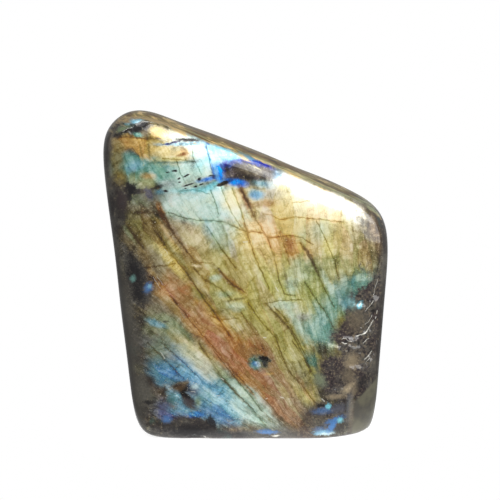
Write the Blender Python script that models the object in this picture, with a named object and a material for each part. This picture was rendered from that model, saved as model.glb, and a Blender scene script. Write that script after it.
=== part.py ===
"""A polished labradorite free form: one solid stone that stands on a flat cut base.

Metres, +Z up. The front faces -Y and +X is to the right. The origin is in the middle
of the stone's footprint, on the plane of the cut base. The stone is a rounded
polyhedron: its ground faces melt into each other along soft edges. A ledged fracture,
open crevices, small pits, a shallow natural scar on the back and chips along the foot
are then sunk into that form, and a floor block trims the base flat.
"""

import math

import bmesh
import bpy
import numpy as np

MM = 0.001

# The form, in millimetres and degrees. Each ground face is a plane with
# (azimuth and elevation of its outward normal, distance from the middle, softness).
# Azimuth 0 is the front, 90 the right, 180 the back and -90 the left. Softness sets
# how round the edges beside the face are: a square edge has a radius of 1.4 x softness.
MIDDLE = (-0.21, -0.77, 51.4)
GROUND_FACES = {
    "front": (0, 6, 16.8, 2.4),
    "back": (176, 6, 16.8, 3.0),
    "left": (-90, -7, 39.25, 2.6),
    "right": (90, -4.2, 43.6, 2.4),
    "top": (90, 68.2, 33.4, 2.8),
    "top_left": (-90, 52.3, 60.2, 4.0),
    "top_right": (90, 32, 47.0, 4.0),
    "front_bevel": (21, 45, 36.0, 2.6),
    "back_bevel": (160, 45, 37.0, 3.0),
    "lower_right_facet": (35, -23, 50.7, 1.3),
    "right_foot": (92, -47, 65.2, 2.0),
    "left_foot": (-90, -56, 60.2, 2.0),
    "base": (0, -90, 51.8, 0.8),
}
LARGEST_RADIUS = 120.0
HALVINGS = 40

# Hand polishing leaves the faces slightly wavy: (height, wave length along X, along Z).
WAVES = ((0.22, 46.0, 61.0), (0.10, 23.0, 31.0))

# The fracture at the lower right of the front is a patch of shell-shaped scallops. Each
# deepens down and to the right and ends there in a curved ledge: (x, z, radius, depth).
FRACTURE_SCALLOPS = {
    "upper_scallop": (34.6, 45.6, 6.4, 0.60),
    "long_scallop": (31.8, 37.6, 8.6, 0.95),
    "small_scallop": (33.4, 32.4, 5.2, 0.55),
    "middle_scallop": (27.6, 33.4, 6.2, 0.50),
    "lower_scallop": (33.0, 27.2, 6.6, 0.75),
    "foot_scallop": (28.6, 21.6, 7.2, 0.50),
}
SCALLOP_FALL = (0.62, -0.78)
SCALLOP_RIM = 0.86

# Crevices and pits on the front: (x, z, turn in degrees, half length, half width, depth).
FRONT_PITS = {
    "corner_crevice": (-31.8, 93.0, 21, 6.8, 2.0, 1.4),
    "bevel_crevice": (-17.6, 89.6, 2, 3.6, 0.9, 0.6),
    "ridge_nick": (-6.8, 77.0, 14, 2.6, 0.9, 0.5),
    "dark_inclusion": (4.9, 23.8, -30, 2.0, 1.3, 0.5),
    "left_hollow": (-20.4, 15.4, -40, 5.2, 2.2, 0.4),
    "left_pit": (-34.0, 40.0, 70, 4.0, 1.5, 0.4),
}

# The back keeps a shallow natural scar and two pits: the same six values each.
BACK_PITS = {
    "scar": (-14.0, 58.0, 35, 13.0, 6.0, 0.9),
    "upper_pit": (12.0, 66.0, -20, 3.0, 1.4, 0.6),
    "lower_pit": (20.0, 24.0, 60, 3.6, 1.6, 0.6),
}

# Chips knocked out of the edge of the base: (azimuth around the foot, width, height, depth).
FOOT_CHIPS = {
    "front_left_chip": (-34, 3.0, 1.6, 0.8),
    "front_chip": (17, 2.4, 1.2, 0.6),
    "right_chip": (70, 2.6, 1.5, 0.7),
    "back_chip": (205, 4.0, 2.0, 1.0),
}

# The mesh: a box of square cells is fitted to the form, made finer where the relief is
# deeper than a wave, and then thinned to a share of its faces.
CAGE_SIZE = (84.0, 40.0, 98.0)
CAGE_CUTS = 83
REFINED_DEPTH = 0.02
KEPT_SHARE = 0.082
SHARP_ANGLE = 40.0
TRIM_DEPTH = 20.0
TRIM_WIDTH = 160.0

STONE_COLOUR = (0.165, 0.155, 0.135, 1.0)
STONE_ROUGHNESS = 0.12


def face_normal(azimuth, elevation):
    """Outward unit normal of a ground face."""
    azimuth, elevation = math.radians(azimuth), math.radians(elevation)
    return (
        math.sin(azimuth) * math.cos(elevation),
        -math.cos(azimuth) * math.cos(elevation),
        math.sin(elevation),
    )


NORMALS = np.array([face_normal(row[0], row[1]) for row in GROUND_FACES.values()])
DISTANCES = np.array([row[2] for row in GROUND_FACES.values()])
SOFTNESS = np.array([row[3] for row in GROUND_FACES.values()])


def face_weights(offsets):
    """How strongly each ground face acts at points given from the middle."""
    powers = (offsets @ NORMALS.T - DISTANCES) / SOFTNESS
    return np.exp(np.minimum(powers, 50.0))


def surface_radii(directions):
    """Distance from the middle to the rounded polyhedron along each direction."""
    inner = np.zeros(len(directions))
    outer = np.full(len(directions), LARGEST_RADIUS)
    for _ in range(HALVINGS):
        radii = (inner + outer) / 2
        outside = face_weights(directions * radii[:, None]).sum(axis=1) > 1.0
        outer = np.where(outside, radii, outer)
        inner = np.where(outside, inner, radii)
    return (inner + outer) / 2


def surface_normals(offsets):
    """Outward unit normals of the rounded polyhedron."""
    slopes = (face_weights(offsets) / SOFTNESS) @ NORMALS
    return slopes / np.linalg.norm(slopes, axis=1)[:, None]


def smooth_step(low, high, value):
    """0 below low, 1 above high, and smooth between them."""
    part = np.clip((value - low) / (high - low), 0.0, 1.0)
    return part * part * (3 - 2 * part)


def turned(x, z, turn):
    """Coordinates along and across a line turned from +X towards +Z."""
    angle = math.radians(turn)
    along = x * math.cos(angle) + z * math.sin(angle)
    across = z * math.cos(angle) - x * math.sin(angle)
    return along, across


def wave_depth(points):
    """The gentle waves that hand polishing leaves."""
    depth = np.zeros(len(points))
    for height, length_x, length_z in WAVES:
        phase_x = 2 * math.pi * (points[:, 0] + 0.6 * points[:, 1]) / length_x
        phase_z = 2 * math.pi * (points[:, 2] - 0.4 * points[:, 1]) / length_z
        depth += height * np.sin(phase_x + 0.7) * np.cos(phase_z)
    return depth


def pit_depth(points, side, pits):
    """Lens-shaped crevices and pits on the front (side -1) or the back (side 1)."""
    depth = np.zeros(len(points))
    for x, z, turn, half_length, half_width, deepest in pits.values():
        along, across = turned(points[:, 0] - x, points[:, 2] - z, turn)
        spread = (along / half_length) ** 2 + (across / half_width) ** 2
        depth += deepest * (1 - smooth_step(0.15, 1.1, spread))
    return depth * (side * points[:, 1] > 0)


def fracture_depth(points, facing):
    """The scalloped fracture, which fades out as the stone turns to its right side."""
    depth = np.zeros(len(points))
    for x, z, radius, deepest in FRACTURE_SCALLOPS.values():
        offset_x, offset_z = points[:, 0] - x, points[:, 2] - z
        fall = (offset_x * SCALLOP_FALL[0] + offset_z * SCALLOP_FALL[1]) / radius
        reach = np.hypot(offset_x, offset_z) / radius
        shell = deepest * smooth_step(-0.4, 1.0, fall) * (1 - smooth_step(SCALLOP_RIM, 1.0, reach))
        depth = np.maximum(depth, shell)
    return depth * smooth_step(0.25, 0.75, facing)


def chip_depth(points):
    """Chips along the edge of the base."""
    around = np.degrees(np.arctan2(points[:, 0], -points[:, 1]))
    radius = np.hypot(points[:, 0], points[:, 1])
    depth = np.zeros(len(points))
    for azimuth, width, height, deepest in FOOT_CHIPS.values():
        swing = (around - azimuth + 180.0) % 360.0 - 180.0
        sideways = np.radians(swing) * radius
        spread = (sideways / width) ** 2 + (points[:, 2] / height) ** 2
        depth += deepest * (1 - smooth_step(0.2, 1.0, spread))
    return depth


def relief_depth(points, normals):
    """Depth of everything that is sunk into the waved form."""
    depth = fracture_depth(points, -normals[:, 1]) + chip_depth(points)
    depth += pit_depth(points, -1, FRONT_PITS) + pit_depth(points, 1, BACK_PITS)
    return depth


def stone_points(directions):
    """Points of the stone along directions from the middle, and the relief's depth there."""
    offsets = directions * surface_radii(directions)[:, None]
    normals = surface_normals(offsets)
    points = offsets + np.array(MIDDLE)
    relief = relief_depth(points, normals)
    depth = (wave_depth(points) + relief) * smooth_step(-0.2, 1.0, points[:, 2])
    return points - normals * depth[:, None], relief


def unit_vectors(coordinates):
    """Directions of the coordinates, seen from the middle."""
    vectors = np.array(coordinates)
    return vectors / np.linalg.norm(vectors, axis=1)[:, None]


def make_cage():
    """A box of small cells, twice as fine where something is sunk into the stone."""
    cage = bmesh.new()
    bmesh.ops.create_cube(cage, size=1.0)
    bmesh.ops.scale(cage, vec=CAGE_SIZE, verts=cage.verts)
    bmesh.ops.subdivide_edges(cage, edges=cage.edges, cuts=CAGE_CUTS, use_grid_fill=True)
    directions = unit_vectors([face.calc_center_median() for face in cage.faces])
    relief = stone_points(directions)[1]
    edges = {edge for face, depth in zip(cage.faces, relief) if depth > REFINED_DEPTH for edge in face.edges}
    ordered = sorted(edges, key=lambda edge: edge.index)
    bmesh.ops.subdivide_edges(cage, edges=ordered, cuts=1, use_grid_fill=True)
    bmesh.ops.triangulate(cage, faces=cage.faces)
    return cage


def make_material():
    """Dark polished feldspar."""
    material = bpy.data.materials.new("labradorite")
    material.use_nodes = True
    shader = material.node_tree.nodes["Principled BSDF"]
    shader.inputs["Base Color"].default_value = STONE_COLOUR
    shader.inputs["Roughness"].default_value = STONE_ROUGHNESS
    shader.inputs["Metallic"].default_value = 0.0
    material.diffuse_color = STONE_COLOUR
    return material


def add_object(name, mesh_builder):
    """Link a new object whose mesh is the bmesh builder's result."""
    mesh = bpy.data.meshes.new(name)
    mesh_builder.to_mesh(mesh)
    mesh_builder.free()
    thing = bpy.data.objects.new(name, mesh)
    bpy.context.scene.collection.objects.link(thing)
    return thing


def make_floor_block():
    """The block below Z 0 that trims the base flat."""
    block = bmesh.new()
    bmesh.ops.create_cube(block, size=1.0)
    bmesh.ops.scale(block, vec=(TRIM_WIDTH * MM, TRIM_WIDTH * MM, TRIM_DEPTH * MM), verts=block.verts)
    bmesh.ops.translate(block, vec=(0, 0, -TRIM_DEPTH * MM / 2), verts=block.verts)
    cutter = add_object("floor_block", block)
    cutter.display_type = "WIRE"
    cutter.hide_render = True
    return cutter


def make_stone(cutter):
    """The whole stone as one closed solid."""
    cage = make_cage()
    directions = unit_vectors([vertex.co for vertex in cage.verts])
    for vertex, point in zip(cage.verts, stone_points(directions)[0]):
        vertex.co = point * MM
    stone = add_object("labradorite_stone", cage)
    stone.data.materials.append(make_material())
    stone.data.shade_smooth()
    stone.data.set_sharp_from_angle(angle=math.radians(SHARP_ANGLE))
    thinned = stone.modifiers.new("thinned", "DECIMATE")
    thinned.ratio = KEPT_SHARE
    trimmed = stone.modifiers.new("trimmed", "BOOLEAN")
    trimmed.operation = "DIFFERENCE"
    trimmed.solver = "EXACT"
    trimmed.object = cutter
    return stone


def main():
    for thing in list(bpy.data.objects):
        bpy.data.objects.remove(thing, do_unlink=True)
    make_stone(make_floor_block())


main()
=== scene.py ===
"""A polished labradorite free form on a plain pale stage.

Laid out as a Blender add-on and run as a script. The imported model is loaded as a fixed
frame; the stone below is a finer mesh of the same ground form, which replaces the
frame's faceted solid and carries the flashing feldspar finish.
"""

import math
from functools import reduce
from operator import add, mul

import bmesh
import bpy
import numpy as np
from bpy.props import FloatProperty, FloatVectorProperty, IntProperty, PointerProperty
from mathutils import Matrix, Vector


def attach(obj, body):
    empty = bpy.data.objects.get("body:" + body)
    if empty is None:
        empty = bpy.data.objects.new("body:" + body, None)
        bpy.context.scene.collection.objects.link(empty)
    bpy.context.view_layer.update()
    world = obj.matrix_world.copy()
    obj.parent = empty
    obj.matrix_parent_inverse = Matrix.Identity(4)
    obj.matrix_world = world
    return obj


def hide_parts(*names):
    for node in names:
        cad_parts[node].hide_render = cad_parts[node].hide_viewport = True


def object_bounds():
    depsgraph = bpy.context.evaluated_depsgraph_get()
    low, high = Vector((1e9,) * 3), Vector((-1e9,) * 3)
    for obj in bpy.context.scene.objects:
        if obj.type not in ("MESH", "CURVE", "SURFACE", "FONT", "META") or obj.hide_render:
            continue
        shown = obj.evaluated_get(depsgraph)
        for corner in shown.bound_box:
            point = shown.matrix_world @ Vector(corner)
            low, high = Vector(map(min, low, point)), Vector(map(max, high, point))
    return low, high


bl_info = {
    "name": "Labradorite free form",
    "version": (1, 0, 0),
    "blender": (4, 5, 0),
    "location": "View3D > Sidebar > Labradorite",
    "description": "Builds a polished labradorite free form and its stage",
    "category": "Object",
}

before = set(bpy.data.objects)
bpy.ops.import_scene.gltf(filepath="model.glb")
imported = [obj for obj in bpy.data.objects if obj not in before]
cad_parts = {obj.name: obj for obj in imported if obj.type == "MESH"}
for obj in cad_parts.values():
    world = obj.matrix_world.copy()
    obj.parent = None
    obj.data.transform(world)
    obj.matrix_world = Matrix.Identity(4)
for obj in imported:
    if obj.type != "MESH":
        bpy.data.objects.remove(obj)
CAD_LOW, CAD_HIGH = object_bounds()

STONE_NODE = "labradorite_stone"

# The form is written in millimetres for a stone of this height. MM is one of those
# millimetres in the frame, so that every size below follows the frame's own height.
FORM_HEIGHT = 98.4
MM = (CAD_HIGH.z - CAD_LOW.z) / FORM_HEIGHT

# ---------------------------------------------------------------- the ground form

# Each ground face: azimuth and elevation of its outward normal, distance from the
# middle, softness. Azimuth 0 is the front, 90 the right, 180 the back, -90 the left.
MIDDLE = (-0.21, -0.77, 51.4)
GROUND_FACES = {
    "front": (0, 6, 16.8, 2.4),
    "back": (176, 6, 16.8, 3.0),
    "left": (-90, -7, 39.25, 2.6),
    "right": (90, -4.2, 43.6, 2.4),
    "top": (90, 68.2, 33.4, 2.8),
    "top_left": (-90, 52.3, 60.2, 4.0),
    "top_right": (90, 32, 47.0, 4.0),
    "front_bevel": (21, 45, 36.0, 2.6),
    "back_bevel": (160, 45, 37.0, 3.0),
    "lower_right_facet": (35, -23, 50.7, 1.3),
    "right_foot": (92, -47, 65.2, 2.0),
    "left_foot": (-90, -56, 60.2, 2.0),
    "base": (0, -90, 51.8, 0.8),
}

# The search for the surface: how far out it starts, how often it halves its range, and the
# largest power that it works out.
LARGEST_RADIUS = 120.0
HALVINGS = 40
LARGEST_POWER = 50.0

# Waves left by hand polishing: height, wave length along X, wave length along Z; how far
# they lean along X and Z with the depth, and where they start.
WAVES = ((0.22, 46.0, 61.0), (0.10, 23.0, 31.0))
WAVE_LEAN = (0.6, -0.4)
WAVE_START = 0.7

# Shell-shaped scallops of the fracture: x, z, radius, depth. Each one deepens along the
# fall, from where its slope starts to where it ends, and closes at its rim. Low ripples
# run round it. The fracture fades out as the stone turns to its right side.
FRACTURE_SCALLOPS = {
    "upper_scallop": (34.6, 45.6, 6.4, 0.60),
    "long_scallop": (31.8, 37.6, 8.6, 0.95),
    "small_scallop": (33.4, 32.4, 5.2, 0.55),
    "middle_scallop": (27.6, 33.4, 6.2, 0.50),
    "lower_scallop": (33.0, 27.2, 6.6, 0.75),
    "foot_scallop": (28.6, 21.6, 7.2, 0.50),
}
SCALLOP_FALL = (0.62, -0.78)
SCALLOP_SLOPE = (-0.4, 1.0)
SCALLOP_RIM = (0.70, 1.0)
RIPPLE_SPACING = 1.9
RIPPLE_HEIGHT = 0.06
FRACTURE_FACING = (0.25, 0.75)

# Crevices and pits: x, z, turn in degrees, half length, half width, depth. The rim lies
# between these squares of the distance, in half sizes.
PIT_RIM = (0.15, 1.1)
FRONT_PITS = {
    "corner_crevice": (-32.4, 93.8, 24, 4.2, 1.1, 0.2),
    "bevel_crevice": (-17.6, 89.6, 2, 3.6, 0.9, 0.2),
    "ridge_nick": (-6.8, 77.0, 14, 2.6, 0.9, 0.12),
    "dark_inclusion": (4.9, 23.8, -30, 2.0, 1.3, 0.5),
    "left_hollow": (-20.4, 15.4, -40, 5.2, 2.2, 0.4),
    "left_pit": (-34.0, 40.0, 70, 4.0, 1.5, 0.1),
}
BACK_PITS = {
    "scar": (-14.0, 58.0, 35, 13.0, 6.0, 0.9),
    "upper_pit": (12.0, 66.0, -20, 3.0, 1.4, 0.6),
    "lower_pit": (20.0, 24.0, 60, 3.6, 1.6, 0.6),
}

# Waves that break the outlines of what is cut into the stone: wave length and reach. They
# lean by these shares of the other coordinate, and the waves across them are longer.
RAGGED_WAVES = ((5.3, 0.30), (2.3, 0.22), (1.1, 0.12))
RAGGED_LEAN = (0.4, -0.3, -0.5)
CROSS_WAVES = (0.7, 0.8)
RAGGED_START = 1.3

# Chips at the edge of the base: azimuth around the foot, width, height, depth. Their rim
# lies between these squares of the distance, in widths and heights.
CHIP_RIM = (0.2, 1.0)
FOOT_CHIPS = {
    "front_left_chip": (-34, 3.0, 1.6, 0.8),
    "front_chip": (17, 2.4, 1.2, 0.6),
    "right_chip": (70, 2.6, 1.5, 0.7),
    "back_chip": (205, 4.0, 2.0, 1.0),
}

# The relief fades out over these heights, so that the cut base stays flat.
BASE_FADE = (-0.2, 1.0)

# A whole turn, in degrees.
FULL_TURN = 360.0

# The fine cage: its size, the relief beyond which it gets finer still, and the angle in
# degrees beyond which an edge is sharp.
CAGE_SIZE = (84.0, 40.0, 98.0)
REFINED_DEPTH = 0.02
SHARP_ANGLE = 50.0


def face_normal(azimuth, elevation):
    """Outward unit normal of a ground face."""
    azimuth, elevation = math.radians(azimuth), math.radians(elevation)
    return (
        math.sin(azimuth) * math.cos(elevation),
        -math.cos(azimuth) * math.cos(elevation),
        math.sin(elevation),
    )


NORMALS = np.array([face_normal(row[0], row[1]) for row in GROUND_FACES.values()])
DISTANCES = np.array([row[2] for row in GROUND_FACES.values()])
SOFTNESS = np.array([row[3] for row in GROUND_FACES.values()])


def face_weights(offsets):
    """How strongly each ground face acts at points given from the middle."""
    powers = (offsets @ NORMALS.T - DISTANCES) / SOFTNESS
    return np.exp(np.minimum(powers, LARGEST_POWER))


def surface_radii(directions):
    """Distance from the middle to the rounded form along each direction."""
    inner = np.zeros(len(directions))
    outer = np.full(len(directions), LARGEST_RADIUS)
    for _ in range(HALVINGS):
        radii = (inner + outer) / 2
        outside = face_weights(directions * radii[:, None]).sum(axis=1) > 1.0
        outer = np.where(outside, radii, outer)
        inner = np.where(outside, inner, radii)
    return (inner + outer) / 2


def surface_normals(offsets):
    """Outward unit normals of the rounded form."""
    slopes = (face_weights(offsets) / SOFTNESS) @ NORMALS
    return slopes / np.linalg.norm(slopes, axis=1)[:, None]


def smooth_step(low, high, value):
    """0 below low, 1 above high, and smooth between them."""
    part = np.clip((value - low) / (high - low), 0.0, 1.0)
    return part * part * (3 - 2 * part)


def turned(x, z, turn):
    """Coordinates along and across a line turned from +X towards +Z."""
    angle = math.radians(turn)
    along = x * math.cos(angle) + z * math.sin(angle)
    across = z * math.cos(angle) - x * math.sin(angle)
    return along, across


def wave_depth(points):
    """The gentle waves that hand polishing leaves."""
    depth = np.zeros(len(points))
    for height, length_x, length_z in WAVES:
        phase_x = 2 * math.pi * (points[:, 0] + WAVE_LEAN[0] * points[:, 1]) / length_x
        phase_z = 2 * math.pi * (points[:, 2] + WAVE_LEAN[1] * points[:, 1]) / length_z
        depth += height * np.sin(phase_x + WAVE_START) * np.cos(phase_z)
    return depth


def ragged(points):
    """The points, shifted a little, so that what is cut there has a broken outline."""
    x, z = points[:, 0].copy(), points[:, 2].copy()
    for length, reach in RAGGED_WAVES:
        turn = 2 * math.pi / length
        wave_x = np.sin(turn * (RAGGED_LEAN[0] * x + z))
        wave_x *= np.cos(turn * CROSS_WAVES[0] * (x + RAGGED_LEAN[1] * z))
        wave_z = np.sin(turn * (x + RAGGED_LEAN[2] * z) + RAGGED_START)
        wave_z *= np.cos(turn * CROSS_WAVES[1] * z)
        x, z = x + reach * wave_x, z + reach * wave_z
    return np.stack([x, points[:, 1], z], axis=1)


def pit_depth(points, side, pits):
    """Lens-shaped crevices and pits on the front (side -1) or the back (side 1)."""
    depth = np.zeros(len(points))
    for x, z, turn, half_length, half_width, deepest in pits.values():
        along, across = turned(points[:, 0] - x, points[:, 2] - z, turn)
        spread = (along / half_length) ** 2 + (across / half_width) ** 2
        depth += deepest * (1 - smooth_step(*PIT_RIM, spread))
    return depth * (side * points[:, 1] > 0)


def fracture_depth(points, facing):
    """The scalloped fracture, which fades out as the stone turns to its right side."""
    depth = np.zeros(len(points))
    for x, z, radius, deepest in FRACTURE_SCALLOPS.values():
        offset_x, offset_z = points[:, 0] - x, points[:, 2] - z
        fall = (offset_x * SCALLOP_FALL[0] + offset_z * SCALLOP_FALL[1]) / radius
        reach = np.hypot(offset_x, offset_z) / radius
        inside = 1 - smooth_step(*SCALLOP_RIM, reach)
        ripples = RIPPLE_HEIGHT * np.sin(2 * math.pi * reach * radius / RIPPLE_SPACING)
        shell = (deepest + ripples) * smooth_step(*SCALLOP_SLOPE, fall) * inside
        depth = np.maximum(depth, shell)
    return depth * smooth_step(*FRACTURE_FACING, facing)


def chip_depth(points):
    """Chips along the edge of the base."""
    bearings = np.degrees(np.arctan2(points[:, 0], -points[:, 1]))
    radius = np.hypot(points[:, 0], points[:, 1])
    depth = np.zeros(len(points))
    for azimuth, width, height, deepest in FOOT_CHIPS.values():
        swing = (bearings - azimuth + FULL_TURN / 2) % FULL_TURN - FULL_TURN / 2
        sideways = np.radians(swing) * radius
        spread = (sideways / width) ** 2 + (points[:, 2] / height) ** 2
        depth += deepest * (1 - smooth_step(*CHIP_RIM, spread))
    return depth


def stone_points(directions):
    """Points of the stone along directions from the middle, and the relief's depth there."""
    offsets = directions * surface_radii(directions)[:, None]
    normals = surface_normals(offsets)
    points = offsets + np.array(MIDDLE)
    broken = ragged(points)
    relief = fracture_depth(broken, -normals[:, 1]) + chip_depth(broken)
    relief += pit_depth(broken, -1, FRONT_PITS) + pit_depth(broken, 1, BACK_PITS)
    depth = (wave_depth(points) + relief) * smooth_step(*BASE_FADE, points[:, 2])
    return points - normals * depth[:, None], relief


def unit_vectors(coordinates):
    """Directions of the coordinates, seen from the middle."""
    vectors = np.array(coordinates)
    return vectors / np.linalg.norm(vectors, axis=1)[:, None]


def make_stone_mesh(cuts):
    """The stone as one closed fine mesh with a flat cut base."""
    cage = bmesh.new()
    bmesh.ops.create_cube(cage, size=1.0)
    bmesh.ops.scale(cage, vec=CAGE_SIZE, verts=cage.verts)
    bmesh.ops.subdivide_edges(cage, edges=cage.edges, cuts=cuts, use_grid_fill=True)
    middles = unit_vectors([face.calc_center_median() for face in cage.faces])
    relief = stone_points(middles)[1]
    deep = [face for face, depth in zip(cage.faces, relief) if depth > REFINED_DEPTH]
    edges = sorted({edge for face in deep for edge in face.edges}, key=lambda edge: edge.index)
    bmesh.ops.subdivide_edges(cage, edges=edges, cuts=1, use_grid_fill=True)
    bmesh.ops.triangulate(cage, faces=cage.faces)
    places = stone_points(unit_vectors([vertex.co for vertex in cage.verts]))[0]
    for vertex, place in zip(cage.verts, places):
        vertex.co = place * MM
    bmesh.ops.bisect_plane(
        cage, geom=cage.verts[:] + cage.edges[:] + cage.faces[:],
        plane_co=(0, 0, 0), plane_no=(0, 0, 1), clear_inner=True,
    )
    rim = [edge for edge in cage.edges if edge.is_boundary]
    base = bmesh.ops.contextual_create(cage, geom=rim)["faces"]
    bmesh.ops.triangulate(cage, faces=base)
    bmesh.ops.recalc_face_normals(cage, faces=cage.faces)
    mesh = bpy.data.meshes.new("stone_body")
    cage.to_mesh(mesh)
    cage.free()
    mesh.shade_smooth()
    mesh.set_sharp_from_angle(angle=math.radians(SHARP_ANGLE))
    return mesh


# ---------------------------------------------------------------- shader arithmetic


class Signal:
    """A socket that takes part in arithmetic: each operator adds a Math node."""

    def __init__(self, graph, socket):
        self.graph = graph
        self.socket = socket

    def __add__(self, other):
        return self.graph.math("ADD", self, other)

    def __sub__(self, other):
        return self.graph.math("SUBTRACT", self, other)

    def __mul__(self, other):
        return self.graph.math("MULTIPLY", self, other)

    def __rsub__(self, other):
        return self.graph.math("SUBTRACT", other, self)

    def __neg__(self):
        return self.graph.math("MULTIPLY", self, -1.0)

    def __abs__(self):
        return self.graph.math("ABSOLUTE", self, 0.0)

    __radd__ = __add__
    __rmul__ = __mul__


# The middle of a noise, as a number and as a colour.
HALF = 0.5
HALVES = (HALF, HALF, HALF)

# Sockets that are known by their number: a texture's colour, the number that a Vector Math
# node gives, and those of a Mix node for colours.
TEXTURE_COLOUR = 1
VECTOR_NUMBER = 1
MIX_FACTOR, MIX_UNDER, MIX_OVER, MIX_COLOUR = 0, 6, 7, 2


class Graph:
    """One node tree, with one method that adds any node."""

    def __init__(self, tree):
        self.tree = tree
        tree.nodes.clear()

    def add(self, kind, settings=None, sockets=None, output=0):
        """Add a node: its settings come first, then its sockets' values or links."""
        node = self.tree.nodes.new(kind if kind.startswith("Node") else "ShaderNode" + kind)
        for name, value in (settings or {}).items():
            setattr(node, name, value)
        for name, value in (sockets or {}).items():
            if isinstance(value, Signal):
                self.tree.links.new(value.socket, node.inputs[name])
            else:
                node.inputs[name].default_value = value
        return Signal(self, node.outputs[output]) if len(node.outputs) else node

    def math(self, operation, first, second):
        """A Math node."""
        return self.add("Math", {"operation": operation}, {0: first, 1: second})

    def step(self, value, low, high, top=1.0):
        """0 at low, top at high, smooth between; low may be the larger."""
        return self.add("MapRange", {"interpolation_type": "SMOOTHSTEP", "clamp": False}, {
            "Value": value, "From Min": low, "From Max": high, "To Min": 0.0, "To Max": top,
        })

    def vector(self, operation, first, second=None, scale=None, output=0):
        """A Vector Math node."""
        sockets = {0: first}
        if second is not None:
            sockets[1] = second
        if scale is not None:
            sockets["Scale"] = scale
        return self.add("VectorMath", {"operation": operation}, sockets, output)

    def length(self, vector):
        """How long a vector is."""
        return self.vector("LENGTH", vector, output=VECTOR_NUMBER)

    def blend(self, factor, under, over, mode="MIX"):
        """A colour Mix node."""
        return self.add("Mix", {"data_type": "RGBA", "blend_type": mode}, {
            MIX_FACTOR: factor, MIX_UNDER: under, MIX_OVER: over,
        }, MIX_COLOUR)

    def outputs(self, signal):
        """Every output of the node that a signal comes from."""
        return [Signal(self, socket) for socket in signal.socket.node.outputs]

    def split(self, vector):
        """The three parts of a vector."""
        return self.outputs(self.add("SeparateXYZ", {}, {0: vector}))

    def join(self, x, y, z=0.0):
        """A vector from three numbers."""
        return self.add("CombineXYZ", {}, {0: x, 1: y, 2: z})

    def cloud(self, vector, scale, detail=2.0, roughness=0.5, output=0):
        """A Noise texture."""
        return self.add("TexNoise", {}, {
            "Vector": vector, "Scale": scale, "Detail": detail, "Roughness": roughness,
        }, output)

    def drift(self, vector, scale, reach, detail=2.0):
        """The vector, shifted by up to about half of reach."""
        noise = self.cloud(vector, scale, detail, output=TEXTURE_COLOUR)
        shift = self.vector("SUBTRACT", noise, HALVES)
        return self.vector("ADD", vector, self.vector("SCALE", shift, scale=reach))


# ---------------------------------------------------------------- sizes and colours


# Screen values: the largest, and the curve that turns them into light, which is a straight
# line below its knee.
SCREEN_WHITE = 255.0
CURVE_KNEE = 0.04045
CURVE_SLOPE = 12.92
CURVE_OFFSET = 0.055
CURVE_POWER = 2.4


def linear(value):
    """The light that a screen value stands for."""
    share = value / SCREEN_WHITE
    if share <= CURVE_KNEE:
        return share / CURVE_SLOPE
    return ((share + CURVE_OFFSET) / (1.0 + CURVE_OFFSET)) ** CURVE_POWER


def swatch(name, description, *screen_values):
    """A colour property whose default is given in screen values."""
    return FloatVectorProperty(
        name=name, description=description, subtype="COLOR", size=3, min=0.0, max=1.0,
        default=tuple(map(linear, screen_values)),
    )


class StoneColours(bpy.types.PropertyGroup):
    """The colours of the stone's body and of its flashes."""

    matrix: swatch("Matrix", "Dark brown-gray body of the stone", 50, 45, 42)
    slab: swatch("Slab", "Olive gray of the ground facet", 122, 119, 98)
    matrix_gray: swatch("Matrix gray", "Lighter gray parts of the body", 90, 87, 79)
    plum: swatch("Plum", "Purple-brown body at the fracture", 58, 48, 49)
    black: swatch("Black", "Inclusions and shadows in crevices", 24, 22, 24)
    umber: swatch("Umber", "Dark brown cracks", 84, 62, 36)
    bark: swatch("Bark", "Gray-brown flecks", 118, 106, 86)
    beige: swatch("Beige", "Pale feldspar patches", 168, 152, 124)
    stone_gray: swatch("Stone gray", "Cool gray haze", 140, 144, 148)
    ochre: swatch("Ochre", "Orange-brown streaks", 158, 118, 70)
    rust: swatch("Rust", "Deep red-brown flash", 148, 98, 62)
    copper: swatch("Copper", "Copper flash", 180, 142, 102)
    salmon: swatch("Salmon", "Pinkish copper flash", 210, 158, 124)
    amber: swatch("Amber", "Amber flash", 198, 158, 100)
    gold: swatch("Gold", "Gold flash", 226, 194, 130)
    peach: swatch("Peach", "Pale peach-gold flash", 240, 218, 168)
    wheat: swatch("Wheat", "Bright yellow-gold strips", 232, 216, 150)
    cream: swatch("Cream", "Palest gold flash", 252, 242, 210)
    straw: swatch("Straw", "Straw yellow flash", 206, 192, 132)
    olive: swatch("Olive", "Olive flash", 180, 170, 114)
    moss: swatch("Moss", "Dark olive flash", 116, 104, 62)
    leaf: swatch("Leaf", "Yellow-green flash", 174, 180, 120)
    sage: swatch("Sage", "Gray-green flash", 154, 168, 136)
    mint: swatch("Mint", "Pale mint flash", 208, 230, 218)
    foam: swatch("Foam", "Palest blue-green flash", 216, 240, 240)
    teal: swatch("Teal", "Teal flash", 118, 162, 154)
    deep_teal: swatch("Deep teal", "Dark teal flash", 56, 98, 92)
    cyan: swatch("Cyan", "Bright cyan flash", 140, 222, 240)
    sky: swatch("Sky", "Light blue flash", 138, 188, 214)
    azure: swatch("Azure", "Blue flash", 80, 134, 196)
    cobalt: swatch("Cobalt", "Vivid blue flash", 52, 122, 232)
    royal: swatch("Royal", "Royal blue flash", 38, 60, 186)
    navy: swatch("Navy", "Dark blue flash", 28, 38, 96)
    dusk: swatch("Dusk", "Dusky blue-gray flash", 86, 88, 98)
    glint: swatch("Glint", "Bright specks", 254, 252, 240)


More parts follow.
